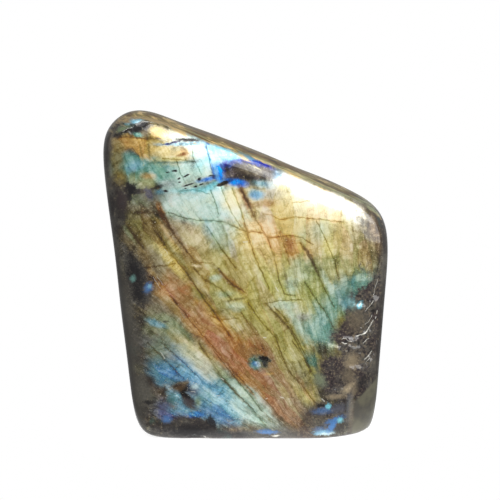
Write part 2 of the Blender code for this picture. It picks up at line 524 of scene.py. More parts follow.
class StoneSizes(bpy.types.PropertyGroup):
    """The stone's mesh, its inner pattern in millimetres, and its polish."""

    cuts: IntProperty(
        name="Cuts", description="Cells along each side of the fine cage, less one",
        default=99, min=20, max=110,
    )
    panel_width: FloatProperty(
        name="Panel width", description="Width of a cleavage panel across the grain",
        default=3.4, min=0.5,
    )
    panel_length: FloatProperty(
        name="Panel length", description="Length of a cleavage panel along the grain",
        default=12.0, min=1.0,
    )
    coat_roughness: FloatProperty(
        name="Polish", description="Roughness of the polished skin",
        default=0.06, min=0.0, max=1.0, subtype="FACTOR",
    )


class StageSettings(bpy.types.PropertyGroup):
    """Camera, lights and floor."""

    lens: FloatProperty(
        name="Lens", description="Focal length in millimetres", default=100.0, min=10.0,
    )
    distance: FloatProperty(
        name="Distance", description="From the camera to its aim",
        default=0.434, min=0.1, unit="LENGTH",
    )
    elevation: FloatProperty(
        name="Elevation", description="Camera above the horizon",
        default=math.radians(8), subtype="ANGLE",
    )
    floor_radius: FloatProperty(
        name="Floor radius", description="Half size of the floor",
        default=0.06, min=0.05, unit="LENGTH",
    )


# ---------------------------------------------------------------- the flash pattern

# Every zone is a ragged ellipse on the front of the stone, in millimetres: x, z, half
# length, half width, turn in degrees, edge softness, colour, strength. Later zones lie
# on top of earlier ones. The fields are the large ones.
FIELDS = {
    # olive body of the flash, from the middle of the front to its right
    "olive_middle": (6, 44, 31, 23, -50, 0.35, "olive", 1.0),
    "straw_middle": (0, 52, 12, 8, -50, 0.8, "straw", 0.7),
    "leaf_right": (19, 46, 13, 10, -60, 0.8, "leaf", 0.8),
    "sage_right": (30, 56, 7, 5, -40, 0.8, "leaf", 0.7),
    "sage_pale": (17, 52, 5, 5, -60, 0.8, "mint", 0.35),
    "olive_low": (11, 33, 9, 8, -50, 0.7, "olive", 0.8),
    "straw_low": (4, 35, 7, 4, -45, 0.8, "straw", 0.6),
    # peach and gold field under the slanting edge
    "peach_field": (15, 66, 20, 8.4, -14, 0.5, "peach", 1.0),
    "gold_field": (7, 60, 9, 6, -50, 0.8, "gold", 0.6),
    "peach_right": (27, 63, 8, 6, -20, 0.8, "straw", 0.6),
    "peach_inner": (1, 66, 9, 5, -62, 0.8, "peach", 0.9),
    "cream_panel": (4, 69.5, 3.6, 2.2, -64, 0.8, "cream", 0.6),
    "pale_haze": (22, 62.6, 4, 2.4, 0, 0.9, "mint", 0.6),
    "right_shoulder": (37, 62, 8, 5.5, 80, 0.6, "bark", 0.9),
    "right_shoulder_gold": (35, 58, 5, 3, 80, 0.9, "olive", 0.6),
    # mint zone on the upper left, with pale panels
    "mint_zone": (-13, 70.5, 13, 5.6, -6, 0.45, "mint", 1.0),
    "foam_zone": (-14, 74.6, 11, 2.0, 2, 0.8, "foam", 0.5),
    "foam_panel": (-6, 70.5, 5.5, 2.8, -68, 0.7, "foam", 0.7),
    "sage_panel": (-9, 62.6, 5, 3.4, -60, 0.8, "mint", 0.8),
    "beige_triangle": (-18.0, 60.5, 8, 4.0, -50, 0.5, "beige", 0.95),
    "straw_triangle": (-14, 58.5, 7, 3.4, -50, 0.8, "straw", 0.7),
    "sky_panel": (-11.6, 62.6, 2.6, 1.5, -78, 0.7, "sky", 0.35),
    "gray_panel": (-4.6, 57.6, 2.6, 2.0, -60, 0.9, "stone_gray", 0.3),
    "cream_bands": (-4.2, 71.6, 5.0, 2.6, -70, 0.7, "cream", 0.75),
    # upper left flashes
    "teal_field": (-28.4, 81.6, 14, 4.4, 0, 0.35, "teal", 1.0),
    "amber_corner": (-31, 88.6, 9.5, 3.0, 0, 0.45, "gold", 0.9),
    "ochre_corner": (-36, 89.3, 4.4, 1.3, 0, 0.7, "ochre", 0.4),
    "amber_glow": (-30, 87.4, 3, 2.0, 0, 0.8, "amber", 0.6),
    "moss_corner": (-39.2, 84, 2.6, 8, 2, 0.6, "moss", 0.9),
    "gold_corner": (-21.6, 86.8, 6.6, 3.0, -4, 0.6, "peach", 0.8),
    # cream flash with painted highlight, where the bevel's bright band starts at the crest
    "cream_crest_highlight": (-22.4, 91.4, 3.8, 1.9, -14, 0.6, "cream", 1.0),
    "foam_ridge": (-9.6, 85.8, 12, 4.4, -14, 0.45, "foam", 0.9),
    "foam_column": (-13.0, 83.4, 5.4, 3.6, 60, 0.6, "foam", 0.9),
    "cyan_ridge": (-7.0, 85.8, 6.6, 2.4, -14, 0.7, "cyan", 0.75),
    "cyan_column": (-13.6, 81.6, 3.4, 2.2, 60, 0.8, "cyan", 0.6),
    "pearl_field": (-17, 78.8, 8, 3.4, 12, 0.6, "mint", 0.85),
    "leaf_patch": (-31, 78.0, 3.6, 2.6, 0, 0.5, "sage", 0.8),
    "olive_patch": (-30.6, 77.4, 2.8, 2.0, 0, 0.8, "olive", 0.5),
    "moss_patch": (-37.4, 78.2, 2.2, 2.2, 0, 0.7, "moss", 0.9),
    # brown and yellow bands on the left
    "moss_left": (-28, 61.5, 10, 5.4, -50, 0.5, "moss", 0.95),
    "umber_left": (-31.5, 58, 9, 2.4, -52, 0.7, "bark", 0.8),
    "olive_left": (-20, 53, 9, 4, -48, 0.8, "olive", 0.7),
    "bark_left": (-23.5, 51.5, 6, 2.6, -46, 0.8, "beige", 0.7),
    "gray_left": (-31, 71, 5.0, 3.0, -20, 0.6, "bark", 0.8),
    "sage_left": (-32.4, 72.6, 2.6, 1.8, 0, 0.8, "sage", 0.5),
    # copper streak from the left middle to the foot
    "copper_streak": (-4, 26.5, 30, 5.2, -47, 0.4, "copper", 1.0),
    "rust_core": (2, 26, 8, 5, -40, 0.8, "rust", 0.85),
    "rust_low": (7, 18.5, 10, 3.4, -48, 0.8, "rust", 0.6),
    "beige_low": (12, 17, 11, 5, -52, 0.8, "beige", 0.6),
    "salmon_head": (-21.6, 44.4, 3.6, 2.4, -30, 0.8, "salmon", 0.85),
    "salmon_middle": (-9, 31, 9, 2.6, -47, 0.9, "salmon", 0.55),
    "beige_foot": (12, 9.5, 6, 3, -40, 0.8, "beige", 0.6),
    # cool colours below the streak
    "moss_low_left": (-25, 38.5, 5, 6.5, 30, 0.6, "bark", 0.9),
    "sage_low_left": (-21.5, 31.4, 9, 4.8, -38, 0.6, "sage", 0.85),
    "cream_strip": (-15, 25.8, 9, 2.6, -40, 0.6, "straw", 0.75),
    "mint_strip": (-14.6, 25.6, 7, 1.4, -42, 0.9, "cream", 0.5),
    "sky_band": (-11, 17.4, 15, 5.0, -34, 0.45, "sky", 1.0),
    "stone_low_left": (-24.0, 26.0, 5.4, 3.0, -35, 0.8, "stone_gray", 0.6),
    "pale_strip": (-11.6, 21.6, 9, 2.2, -42, 0.7, "sage", 0.7),
    "straw_strip": (-9.6, 22.6, 6, 1.0, -44, 0.8, "straw", 0.5),
    "azure_left": (-23.6, 20.0, 5.0, 3.2, -20, 0.7, "sky", 0.9),
    "azure_touch": (-23.0, 19.6, 3.4, 1.6, -30, 0.9, "azure", 0.5),
    "azure_foot": (-9, 11.0, 7, 4.4, -30, 0.6, "sky", 0.8),
    "azure_deep": (-8.5, 7.6, 4.4, 2.0, -20, 0.8, "azure", 0.35),
    "foam_streaks": (-12.0, 14.6, 6.0, 1.2, -30, 0.9, "foam", 0.5),
    "foam_strip": (-3.6, 16.6, 7.5, 1.9, -42, 0.6, "sage", 0.7),
    "mint_foot": (1, 10.2, 8.4, 4.2, -44, 0.45, "mint", 0.75),
    "sage_foot": (10, 4.4, 6, 2.6, -10, 0.6, "bark", 0.9),
    "foot_bark": (3, 2.6, 9, 2.2, -6, 0.6, "bark", 0.9),
    "foot_umber": (12, 2.4, 8, 2.2, 0, 0.8, "umber", 0.6),
    "violet_foot": (-24.8, 9.6, 3.0, 2.6, 0, 0.7, "dusk", 0.95),
    "violet_core": (-24.4, 9.2, 1.7, 1.8, 0, 0.8, "navy", 0.5),
    # teal and blue on the right
    "teal_right": (32.6, 45.6, 6.2, 4.8, 30, 0.45, "teal", 1.0),
    "teal_band": (28, 41.5, 9, 4.2, 42, 0.6, "teal", 0.75),
    "teal_middle": (22.6, 33.4, 6.0, 5.0, -40, 0.55, "teal", 0.9),
    "sage_middle": (18, 38, 5, 3, -20, 0.8, "mint", 0.4),
    "dusk_edge": (19.8, 24.8, 3.0, 1.8, -60, 0.7, "deep_teal", 0.9),
    # pale slope of the slanting edge: cream flash, with painted highlight in glint white on its
    # bright band
    "cream_slope": (21.4, 74.4, 16.0, 5.2, -22, 0.5, "cream", 0.9),
    # painted highlight: glint white over pale flash along the bevel's bright band and at its start
    "slope_highlight": (22.8, 73.6, 13.5, 2.8, -21.5, 0.45, "glint", 0.8),
    "slope_highlight_start": (12.4, 77.0, 3.6, 2.6, -30, 0.6, "glint", 0.9),
    "cream_fill": (13.0, 73.8, 3.8, 2.6, -20, 0.7, "cream", 0.85),
    "peach_glow": (22, 68.6, 12, 3.4, -18, 0.8, "cream", 0.45),
    # painted highlight fading out at the right end of the band
    "slope_highlight_end": (33.0, 68.4, 2.6, 1.8, -40, 0.6, "glint", 0.4),
    "crown_gray": (-32, 97.4, 9, 2.0, 4, 0.4, "stone_gray", 0.6),
}

# Where the dark body of the stone shows through the flash.
BODY_ZONES = {
    "plum_right": (37.4, 30, 20, 8.2, 86, 0.16, "matrix", 1.0),
    "plum_middle": (32, 31, 6.5, 5.6, 0, 0.25, "matrix", 1.0),
    "plum_foot": (29, 20, 8.6, 7.0, 60, 0.25, "matrix", 1.0),
    "plum_upper": (39.4, 43, 7.4, 3.6, 80, 0.25, "matrix", 1.0),
    "dark_left": (-33.0, 48.4, 7.8, 3.4, -72, 0.3, "matrix", 1.0),
    "dark_upper_left": (-38.6, 70.5, 8, 2.6, -84, 0.4, "matrix", 0.95),
    "edge_left": (-42.0, 82, 12, 1.6, 88, 0.5, "matrix", 0.6),
    "cluster_zone": (-31, 73.4, 6.0, 2.4, 5, 0.7, "matrix", 0.6),
    "dark_foot": (-17, 3.4, 10, 3.6, 0, 0.35, "matrix", 1.0),
    "dark_foot_long": (-8, 0.8, 16, 2.4, 0, 0.4, "matrix", 1.0),
    "dark_foot_left": (-32.6, 12, 9, 4.2, 80, 0.5, "matrix", 1.0),
    "gray_left_foot": (-35.4, 32, 14, 3.4, -82, 0.6, "matrix", 0.9),
    "dusk_foot": (23.4, 7.2, 7, 4.2, 8, 0.3, "matrix", 0.85),
    "foot_right": (10, 1.6, 12, 2.5, 2, 0.8, "matrix", 0.95),
    "facet": (36.8, 7.6, 9.4, 4.6, 70, 0.14, "matrix", 1.0),
}

# Marks with soft edges; the dark eye with its blue rim among them.
SOFT_MARKS = {
    "blue_shade": (-15.2, 17.2, 3.2, 1.8, -42, 0.9, "azure", 0.45),
    "sand_shade": (20.6, 60.6, 5.0, 3.4, -30, 0.9, "olive", 0.45),
    "crown_gold": (-26.4, 90.8, 3.2, 2.2, -12, 0.8, "moss", 0.5),
    "low_teal": (-13.0, 13.6, 3.0, 2.2, -40, 0.9, "teal", 0.4),
    "ridge_teal": (-22.0, 77.2, 2.8, 1.8, 8, 0.9, "teal", 0.45),
    "bright_mint": (-8.4, 68.2, 2.8, 2.4, -70, 0.9, "mint", 0.55),
    "band_peach": (-22.0, 41.0, 3.0, 2.0, -47, 0.9, "peach", 0.4),
    "middle_mint": (-3.8, 63.6, 2.8, 2.4, -60, 0.9, "mint", 0.4),
    "left_umber": (-31.0, 54.6, 2.4, 2.6, 90, 0.9, "umber", 0.5),
    "right_edge_shade": (38.8, 64.2, 7.2, 3.8, -84, 0.8, "umber", 0.75),
    "dusk_beside_body": (23.6, 27.4, 2.9, 2.2, -35, 0.6, "matrix", 0.8),
    "crown_shade": (-26.2, 93.4, 4.6, 1.7, -16, 0.7, "umber", 0.4),
    "foot_mint": (6.8, 4.8, 4.8, 2.2, -30, 0.8, "mint", 0.6),
    "foot_gold": (18.6, 13.8, 3.4, 2.2, -50, 0.8, "wheat", 0.55),
    "foot_sage": (22.8, 18.4, 2.6, 1.8, -50, 0.8, "sage", 0.6),
    "cream_beside_blue": (-13.4, 23.4, 6.4, 2.6, -45, 0.8, "cream", 0.5),
    "gold_beside_copper": (-8.2, 36.6, 4.4, 1.8, -47, 0.8, "gold", 0.6),
    "upper_cream": (-15.4, 61.6, 4.6, 2.6, -50, 0.9, "cream", 0.45),
    "wheat_under_eye": (-3.6, 72.8, 2.6, 2.8, -60, 0.8, "wheat", 0.5),
    "teal_by_corner": (-31.2, 81.6, 2.8, 2.6, 0, 0.9, "deep_teal", 0.45),
    "haze_under_eye": (5.4, 77.0, 3.2, 1.2, -8, 0.8, "sky", 0.6),
    "blue_dusk": (-21.8, 9.0, 3.0, 2.4, 0, 0.9, "navy", 0.75),
    "right_cyan": (32.0, 41.2, 2.4, 1.9, -40, 0.8, "cyan", 0.5),
    "left_sage": (-26.2, 27.2, 2.8, 3.0, 0, 0.9, "sage", 0.5),
    "right_light": (27.4, 50.2, 4.0, 2.8, -60, 0.9, "cream", 0.35),
    "pink_halo": (-19.2, 86.0, 2.6, 1.5, 8, 0.7, "gold", 0.8),
    "gold_panel": (-24.2, 86.2, 2.2, 1.2, 4, 0.6, "peach", 0.8),
    "sky_patch": (-33.4, 82.3, 2.3, 1.2, 20, 0.9, "sky", 0.55),
    "copper_tint": (-29.2, 79.4, 1.9, 0.8, 0, 0.9, "amber", 0.7),
    "lilac_wash": (-23.2, 77.2, 2.2, 1.1, 10, 0.9, "stone_gray", 0.6),
    "cyan_wash": (-14.0, 75.3, 7.5, 0.9, 3, 0.8, "cyan", 0.5),
    "blue_streak": (-11.6, 78.4, 2.8, 0.6, 12, 0.7, "cobalt", 0.85),
    "cyan_under_band": (-9.6, 76.8, 3.0, 0.9, 20, 0.8, "cyan", 0.7),
    "eye_rim_top": (-2.4, 82.8, 6.0, 1.8, 10, 0.6, "royal", 1.0),
    "eye_rim_arc": (4.8, 82.6, 4.0, 1.1, -22, 0.6, "royal", 1.0),
    "eye_rim_low": (-2.8, 77.6, 3.4, 1.2, -12, 0.6, "cobalt", 0.95),
    "eye_rim_right": (8.2, 80.2, 2.0, 1.4, -16, 0.7, "navy", 0.8),
    "eye_violet": (-3.4, 82.0, 4.6, 1.2, 10, 0.7, "navy", 0.9),
    "eye": (1.0, 80.3, 7.2, 2.4, -5, 0.3, "plum", 1.0),
    "eye_dark": (-3.8, 80.2, 3.2, 1.7, 10, 0.6, "plum", 0.95),
    "eye_dark_low": (1.6, 78.8, 3.6, 0.8, -6, 0.7, "black", 0.5),
    "eye_light": (2.0, 80.8, 4.4, 1.2, -8, 0.9, "bark", 0.7),
    "blue_band": (-8.3, 80.3, 3.0, 1.5, -74, 0.35, "cobalt", 1.0),
    "blue_band_light": (-8.9, 80.6, 2.4, 0.7, -76, 0.7, "sky", 0.6),
    "blue_band_dark": (-6.7, 81.4, 1.6, 0.4, -64, 0.7, "navy", 0.9),
    "sky_over_eye": (1.6, 84.6, 4.0, 0.5, -6, 0.7, "sky", 0.9),
    "teal_over_eye": (11.6, 81.8, 1.8, 0.8, -24, 0.8, "teal", 0.9),
    "sky_rim_end": (10.2, 79.6, 1.4, 1.6, -20, 0.9, "sky", 0.7),
    "haze_blob": (7.4, 73.9, 3.6, 1.5, 2, 0.9, "stone_gray", 0.5),
    "sky_blob": (3.4, 73.8, 2.2, 1.5, -10, 0.55, "sky", 0.9),
    "azure_blob": (2.8, 73.4, 1.3, 1.1, 0, 0.8, "azure", 0.35),
    "copper_shadow": (5.0, 71.0, 4.4, 1.0, 6, 0.8, "copper", 0.75),
}

# Marks with ragged edges.
MARKS = {
    # crown and corner
    "crown_dark": (-27, 96.6, 2.4, 1.0, -10, 0.7, "bark", 0.9),
    "crown_sky": (-33.2, 95.7, 2.6, 0.6, 18, 0.7, "sky", 0.9),
    "corner_sage": (-37.4, 93.2, 2.0, 1.0, 30, 0.8, "sage", 0.7),
    "corner_dark": (-38.6, 91.4, 1.8, 0.9, 10, 0.7, "matrix", 0.9),
    "corner_teal": (-32.4, 91.7, 1.6, 0.7, -16, 0.5, "teal", 0.95),
    "corner_mauve": (-29.2, 92.4, 1.8, 1.2, 20, 0.7, "bark", 0.8),
    "corner_gold": (-26.4, 92.4, 2.2, 1.6, 0, 0.7, "gold", 0.9),
    "corner_black": (-31.6, 94.0, 3.2, 1.2, 32, 0.35, "black", 1.0),
    "corner_black_tail": (-35.2, 92.8, 2.6, 0.5, 12, 0.4, "black", 1.0),
    "amber_spot": (-26.2, 92.2, 1.5, 0.9, 10, 0.7, "amber", 0.9),
    "bevel_gold": (-25.6, 91.2, 1.2, 0.6, -20, 0.8, "gold", 0.8),
    "crest_band": (-21.0, 94.0, 9.0, 1.3, -16, 0.7, "moss", 0.85),
    "crest_band_low": (-3.0, 88.2, 8.0, 0.5, -23, 0.8, "sage", 0.7),
    "pink_spot": (-19.2, 85.7, 1.2, 0.42, 8, 0.7, "rust", 0.8),
    "column_left": (-31.2, 86.4, 2.4, 0.3, -78, 0.8, "moss", 0.6),
    "column_right": (-28.8, 86.6, 3.0, 0.35, -84, 0.8, "moss", 0.6),
    "teal_line": (-23.0, 83.6, 7.2, 0.42, 0, 0.7, "deep_teal", 0.7),
    "straw_line": (-21.0, 84.5, 5.0, 0.6, 3, 0.8, "straw", 0.7),
    # streaks of the ridge
    "streak_halo": (-18.6, 88.9, 6.4, 0.6, 1, 0.7, "sky", 0.9),
    "streak_black": (-17.6, 90.0, 3.6, 0.6, -2, 0.4, "black", 1.0),
    "streak_black_tail": (-21.4, 89.3, 1.8, 0.32, 14, 0.5, "navy", 1.0),
    "streak_navy": (-23.4, 88.9, 1.2, 0.26, 2, 0.5, "navy", 0.95),
    "ridge_teal": (-11.8, 90.0, 1.6, 0.5, -64, 0.6, "azure", 0.95),
    "ridge_blue_line": (-11.4, 86.6, 3.8, 0.30, -70, 0.8, "azure", 0.55),
    "blue_streak_dark": (-9.4, 79.2, 1.0, 0.5, 10, 0.7, "navy", 0.8),
    "ridge_nick_black": (-6.8, 77.1, 2.3, 0.55, 17, 0.35, "black", 1.0),
    # black cluster on the left edge
    "cluster_middle": (-31.8, 74.9, 3.0, 0.8, 6, 0.4, "black", 1.0),
    "cluster_right": (-26.6, 76.0, 2.4, 0.6, 18, 0.5, "black", 0.9),
    "cluster_navy": (-29.0, 74.1, 1.8, 1.1, -70, 0.5, "navy", 0.95),
    "cluster_sky": (-25.8, 74.7, 1.4, 0.7, 0, 0.8, "sky", 0.7),
    # highlight zone of the slanting edge, and the olive band above it
    "slope_olive": (23.8, 75.8, 3.6, 0.6, -20, 0.7, "moss", 0.75),
    "slope_gold": (17.0, 79.2, 4.4, 0.7, -24, 0.7, "straw", 0.8),
    "amber_box": (14.4, 58.0, 3.0, 2.6, -70, 0.45, "amber", 0.8),
    "amber_box_dark": (13.4, 58.8, 1.9, 0.9, -60, 0.8, "rust", 0.6),
    "haze_spot": (34.0, 66.4, 2.0, 1.0, -30, 0.9, "stone_gray", 0.5),
    "crease_a": (0.6, 71.6, 4.6, 0.9, -63, 0.9, "rust", 0.7),
    "crease_a_dark": (0.3, 72.0, 3.6, 0.3, -63, 0.8, "umber", 0.65),
    "crease_b": (19.9, 54.2, 4.8, 0.45, -62, 0.8, "umber", 0.55),
    "crease_c": (-5.6, 48.6, 4.8, 0.7, -45, 0.8, "umber", 0.6),
    "crease_d": (-24.2, 66.4, 5.2, 0.6, -62, 0.8, "umber", 0.6),
    "crease_e": (12.2, 49.2, 3.6, 0.5, -76, 0.8, "moss", 0.6),
    "crease_f": (-13.6, 46.4, 7.0, 0.5, -50, 0.8, "umber", 0.5),
    "crease_g": (12.4, 34.4, 6.0, 0.5, -48, 0.8, "umber", 0.45),
    "crease_h": (-4.0, 15.6, 7.0, 0.45, -46, 0.8, "moss", 0.5),
    # right side
    "teal_bright": (35.0, 48.8, 1.8, 1.1, 0, 0.7, "mint", 0.6),
    "cyan_wash_right": (31.8, 41.4, 2.6, 1.4, 10, 0.8, "sky", 0.6),
    # inclusion in the copper field
    "inclusion_ring": (4.2, 23.6, 3.0, 2.1, -8, 0.5, "deep_teal", 0.8),
    "inclusion_sage": (2.0, 24.4, 0.9, 0.6, 40, 0.8, "sage", 0.3),
    "inclusion_blue": (3.4, 23.4, 1.6, 1.3, -10, 0.7, "deep_teal", 0.9),
    "inclusion_azure": (3.1, 22.9, 1.1, 0.8, -10, 0.8, "azure", 0.6),
    "inclusion_rim": (2.6, 22.2, 2.2, 0.5, -30, 0.7, "teal", 0.5),
    "inclusion_black": (5.5, 24.8, 1.5, 0.8, -6, 0.4, "black", 1.0),
    "inclusion_black_low": (5.6, 23.0, 1.2, 0.8, -30, 0.5, "black", 0.95),
    "inclusion_claw": (6.6, 23.8, 0.9, 0.4, 10, 0.6, "black", 0.9),
    "inclusion_glow": (6.9, 20.1, 1.6, 0.4, 2, 0.8, "amber", 0.7),
    # dark knots of the olive field
    "knot_a": (-3.2, 46.8, 3.4, 0.9, -44, 0.8, "ochre", 0.7),
    "knot_b": (-6.4, 49.6, 1.8, 0.9, -40, 0.8, "ochre", 0.6),
    "knot_c": (-6.4, 44.0, 2.2, 0.9, 0, 0.9, "sage", 0.7),
    "knot_d": (-3.4, 42.4, 2.9, 0.4, 8, 0.8, "moss", 0.9),
    "patch_a": (-9.0, 49.0, 1.8, 1.0, 10, 0.7, "mint", 0.5),
    "patch_b": (-12.6, 46.6, 2.4, 1.2, -40, 0.8, "straw", 0.7),
    "patch_c": (-3.0, 40.2, 2.8, 1.3, -8, 0.6, "mint", 0.4),
    "patch_d": (-7.8, 38.8, 1.8, 0.9, 0, 0.8, "moss", 0.5),
    "patch_e": (11.4, 40.8, 3.4, 1.3, -4, 0.6, "mint", 0.45),
    "patch_f": (14.2, 46.6, 1.8, 2.0, 0, 0.8, "mint", 0.5),
    "patch_g": (17.2, 37.2, 1.9, 1.0, 10, 0.8, "stone_gray", 0.6),
    "mint_streak_a": (15.0, 36.0, 6.5, 1.0, -56, 0.8, "mint", 0.5),
    "mint_streak_b": (25.0, 47.0, 4.5, 0.9, -62, 0.8, "mint", 0.5),
    "mint_streak_c": (28.4, 42.6, 3.4, 0.6, -68, 0.8, "foam", 0.5),
    "cream_streak": (3.0, 52.0, 6.0, 0.8, -66, 0.8, "cream", 0.35),
    "cream_streak_low": (-4.0, 36.0, 5.0, 0.9, -50, 0.8, "cream", 0.35),
    # left side
    "hatched_gold": (-22.8, 54.6, 6.6, 1.5, -51, 0.5, "wheat", 1.0),
    "hatched_gold_low": (-21.2, 58.2, 2.8, 0.9, -50, 0.6, "wheat", 0.6),
    "ochre_streak": (-22.6, 64.2, 8.0, 0.8, -56, 0.8, "umber", 0.5),
    "ochre_streak_top": (-25.6, 69.6, 2.8, 0.9, -66, 0.7, "ochre", 0.8),
    "ochre_glow": (-23.8, 62.6, 5.0, 0.5, -54, 0.8, "gold", 0.4),
    "left_sky_wisp": (-26.8, 35.2, 2.9, 0.9, -20, 0.7, "sky", 0.7),
    "left_dark_dot": (-24.0, 35.8, 0.8, 0.35, 0, 0.6, "black", 0.8),
    "amber_knot": (-15.0, 41.6, 1.2, 0.8, 60, 0.7, "amber", 0.8),
    "shell_patch": (-35.2, 62.4, 3.0, 0.7, -54, 0.8, "sage", 0.5),
    "strip_gray": (-32.6, 55.6, 5.0, 0.6, -56, 0.8, "bark", 0.7),
    "pale_chip": (-14.6, 52.6, 1.3, 0.4, -6, 0.5, "cream", 0.7),
    # hollow shape in the blue foot
    "hollow_rim": (-20.8, 12.6, 3.4, 1.8, -50, 0.6, "sky", 0.8),
    "hollow_inner": (-16.0, 15.2, 2.2, 1.5, -30, 0.7, "dusk", 0.85),
    "hollow_top": (-19.6, 16.7, 2.8, 1.1, 20, 0.5, "bark", 0.95),
    "hollow_top_dark": (-20.4, 16.4, 1.1, 0.6, 10, 0.6, "black", 0.8),
    "hollow_neck": (-19.2, 14.8, 1.7, 0.8, -60, 0.5, "black", 0.85),
    "hollow_low": (-17.4, 12.9, 2.6, 1.0, -38, 0.45, "black", 0.95),
    "hollow_low_dark": (-18.6, 13.4, 1.0, 0.7, -40, 0.6, "black", 0.8),
    "hollow_light": (-15.2, 16.2, 1.2, 0.6, 10, 0.8, "foam", 0.7),
    "hollow_edge": (-14.2, 11.4, 0.8, 1.4, 0, 0.8, "sage", 0.7),
    "foot_sage": (-19.2, 8.8, 3.2, 1.2, -6, 0.8, "sky", 0.75),
    "foot_blue": (-15.0, 7.8, 2.6, 1.0, 4, 0.6, "azure", 0.95),
    "foot_violet_dark": (-24.2, 11.8, 1.4, 0.8, 0, 0.7, "black", 0.7),
}

# Spots on the body, painted over everything else.
SPOTS = {
    "hollow_dark_upper": (-20.2, 15.4, 2.0, 0.8, 25, 0.7, "umber", 0.7),
    "hollow_dark_low": (-17.4, 11.4, 2.4, 1.1, -28, 0.6, "plum", 0.85),
    "hollow_teal": (-22.0, 12.4, 1.9, 1.3, 60, 0.8, "deep_teal", 0.65),
    "hollow_dusk": (-24.3, 9.8, 1.9, 1.6, 0, 0.8, "dusk", 0.5),
    "strip_light_a": (-24.8, 56.8, 1.9, 0.45, -52, 0.9, "wheat", 0.5),
    "strip_light_b": (-19.8, 50.4, 1.7, 0.45, -52, 0.9, "wheat", 0.45),
    # painted reflection: a pale gray vertical strip on the ground facet
    "facet_reflection_strip": (31.5, 9.6, 4.4, 1.0, 88, 0.8, "stone_gray", 0.45),
    "sage_island": (22.6, 18.2, 2.0, 1.4, -50, 0.8, "sage", 0.45),
    "left_dark": (-35.6, 68.0, 2.6, 2.4, 0, 0.7, "black", 0.45),
    "teal_tongue": (31.6, 41.4, 2.0, 1.5, -40, 0.8, "teal", 0.4),
    "cluster_left": (-34.4, 75.6, 1.9, 1.5, 40, 0.5, "black", 1.0),
    "cluster_top": (-35.2, 77.0, 0.9, 0.8, 0, 0.6, "black", 0.9),
    "cluster_foot": (-34.9, 73.4, 0.8, 1.6, 10, 0.6, "black", 0.9),
    "cluster_low": (-36.8, 72.0, 3.0, 1.6, -80, 0.7, "plum", 0.8),
    "cyan_spark": (34.5, 40.8, 1.3, 0.75, 75, 0.4, "cyan", 1.0),
    "cyan_spark_core": (34.5, 41.0, 0.8, 0.35, 70, 0.6, "glint", 0.9),
    "beige_patch": (32.2, 23.8, 2.0, 1.7, 50, 0.9, "beige", 0.95),
    "beige_patch_low": (31.3, 15.9, 2.6, 1.1, 40, 0.7, "beige", 0.9),
    "beige_patch_end": (33.2, 15.0, 1.2, 0.8, 60, 0.8, "beige", 0.6),
    "bark_upper": (33.4, 35.6, 2.8, 2.2, 60, 0.9, "bark", 0.65),
    "beige_between": (31.2, 19.6, 1.8, 2.2, 0, 0.9, "bark", 0.7),
    "plum_black": (35.0, 17.0, 3.0, 1.4, 50, 0.8, "black", 0.7),
    "olive_band": (27.2, 13.2, 2.6, 0.6, 2, 0.6, "beige", 0.65),
    # painted reflection: beige along the same vertical strip of the facet
    "facet_reflection_stripe": (32.1, 7.4, 5.0, 0.8, 88, 0.8, "beige", 0.4),
    "foot_royal_haze": (23.6, 9.0, 2.6, 0.9, 6, 0.9, "azure", 0.45),
    "foot_navy_haze": (28.4, 9.4, 1.7, 1.7, 0, 0.9, "dusk", 0.8),
    "left_black": (-33.2, 50.0, 5.6, 2.3, -76, 0.6, "black", 0.95),
    "left_black_low": (-32.2, 43.6, 2.6, 1.8, -60, 0.6, "black", 0.9),
    "blue_foot": (23.6, 2.3, 2.6, 0.8, 2, 0.5, "sky", 1.0),
    "blue_foot_core": (24.6, 1.8, 2.0, 0.45, 2, 0.6, "foam", 1.0),
    "blue_foot_mid": (26.3, 4.3, 2.4, 0.9, 58, 0.6, "azure", 1.0),
    "blue_foot_arm": (27.0, 6.0, 2.4, 0.7, 20, 0.8, "azure", 0.8),
    "blue_foot_tip": (28.7, 5.9, 0.9, 0.8, 14, 0.6, "cyan", 0.9),
    "foot_lavender": (22.6, 3.4, 1.8, 0.6, 0, 0.9, "azure", 0.4),
    "foot_wedge": (28.6, 3.2, 1.6, 1.2, 20, 0.7, "matrix", 0.8),
    "slit_black": (22.9, 10.5, 1.5, 0.5, -8, 0.5, "black", 0.9),
    "cyan_foot_spot": (25.0, 10.3, 0.8, 0.8, 60, 0.5, "cyan", 0.95),
    "left_teal_spot": (-33.9, 48.6, 0.9, 0.7, 70, 0.8, "teal", 0.9),
    "left_blue_spot": (-29.2, 46.0, 1.3, 1.0, 60, 0.9, "azure", 0.65),
    "left_blue_core": (-28.8, 46.4, 0.6, 0.5, 60, 0.7, "sky", 0.9),
    "foot_azure": (-23.6, 6.4, 1.2, 1.1, 0, 0.8, "azure", 0.55),
    "foot_dark_spot": (-28.8, 11.5, 1.8, 0.6, 4, 0.6, "black", 0.8),
    "foot_black": (-10.4, 6.0, 1.8, 1.2, -60, 0.5, "black", 0.95),
    "foot_royal": (6.5, 2.6, 2.6, 0.6, -2, 0.7, "azure", 0.8),
    "foot_chip_white": (-12.2, 0.9, 0.5, 0.2, -50, 0.8, "glint", 0.8),
    "foot_chip_right": (9.3, 1.4, 1.1, 0.3, 4, 0.6, "glint", 0.8),
    "foot_dark": (-16, 2.8, 8, 2.0, 0, 0.7, "black", 0.9),
    "foot_dark_right": (-3, 2.0, 6, 1.0, -4, 0.7, "black", 0.6),
}

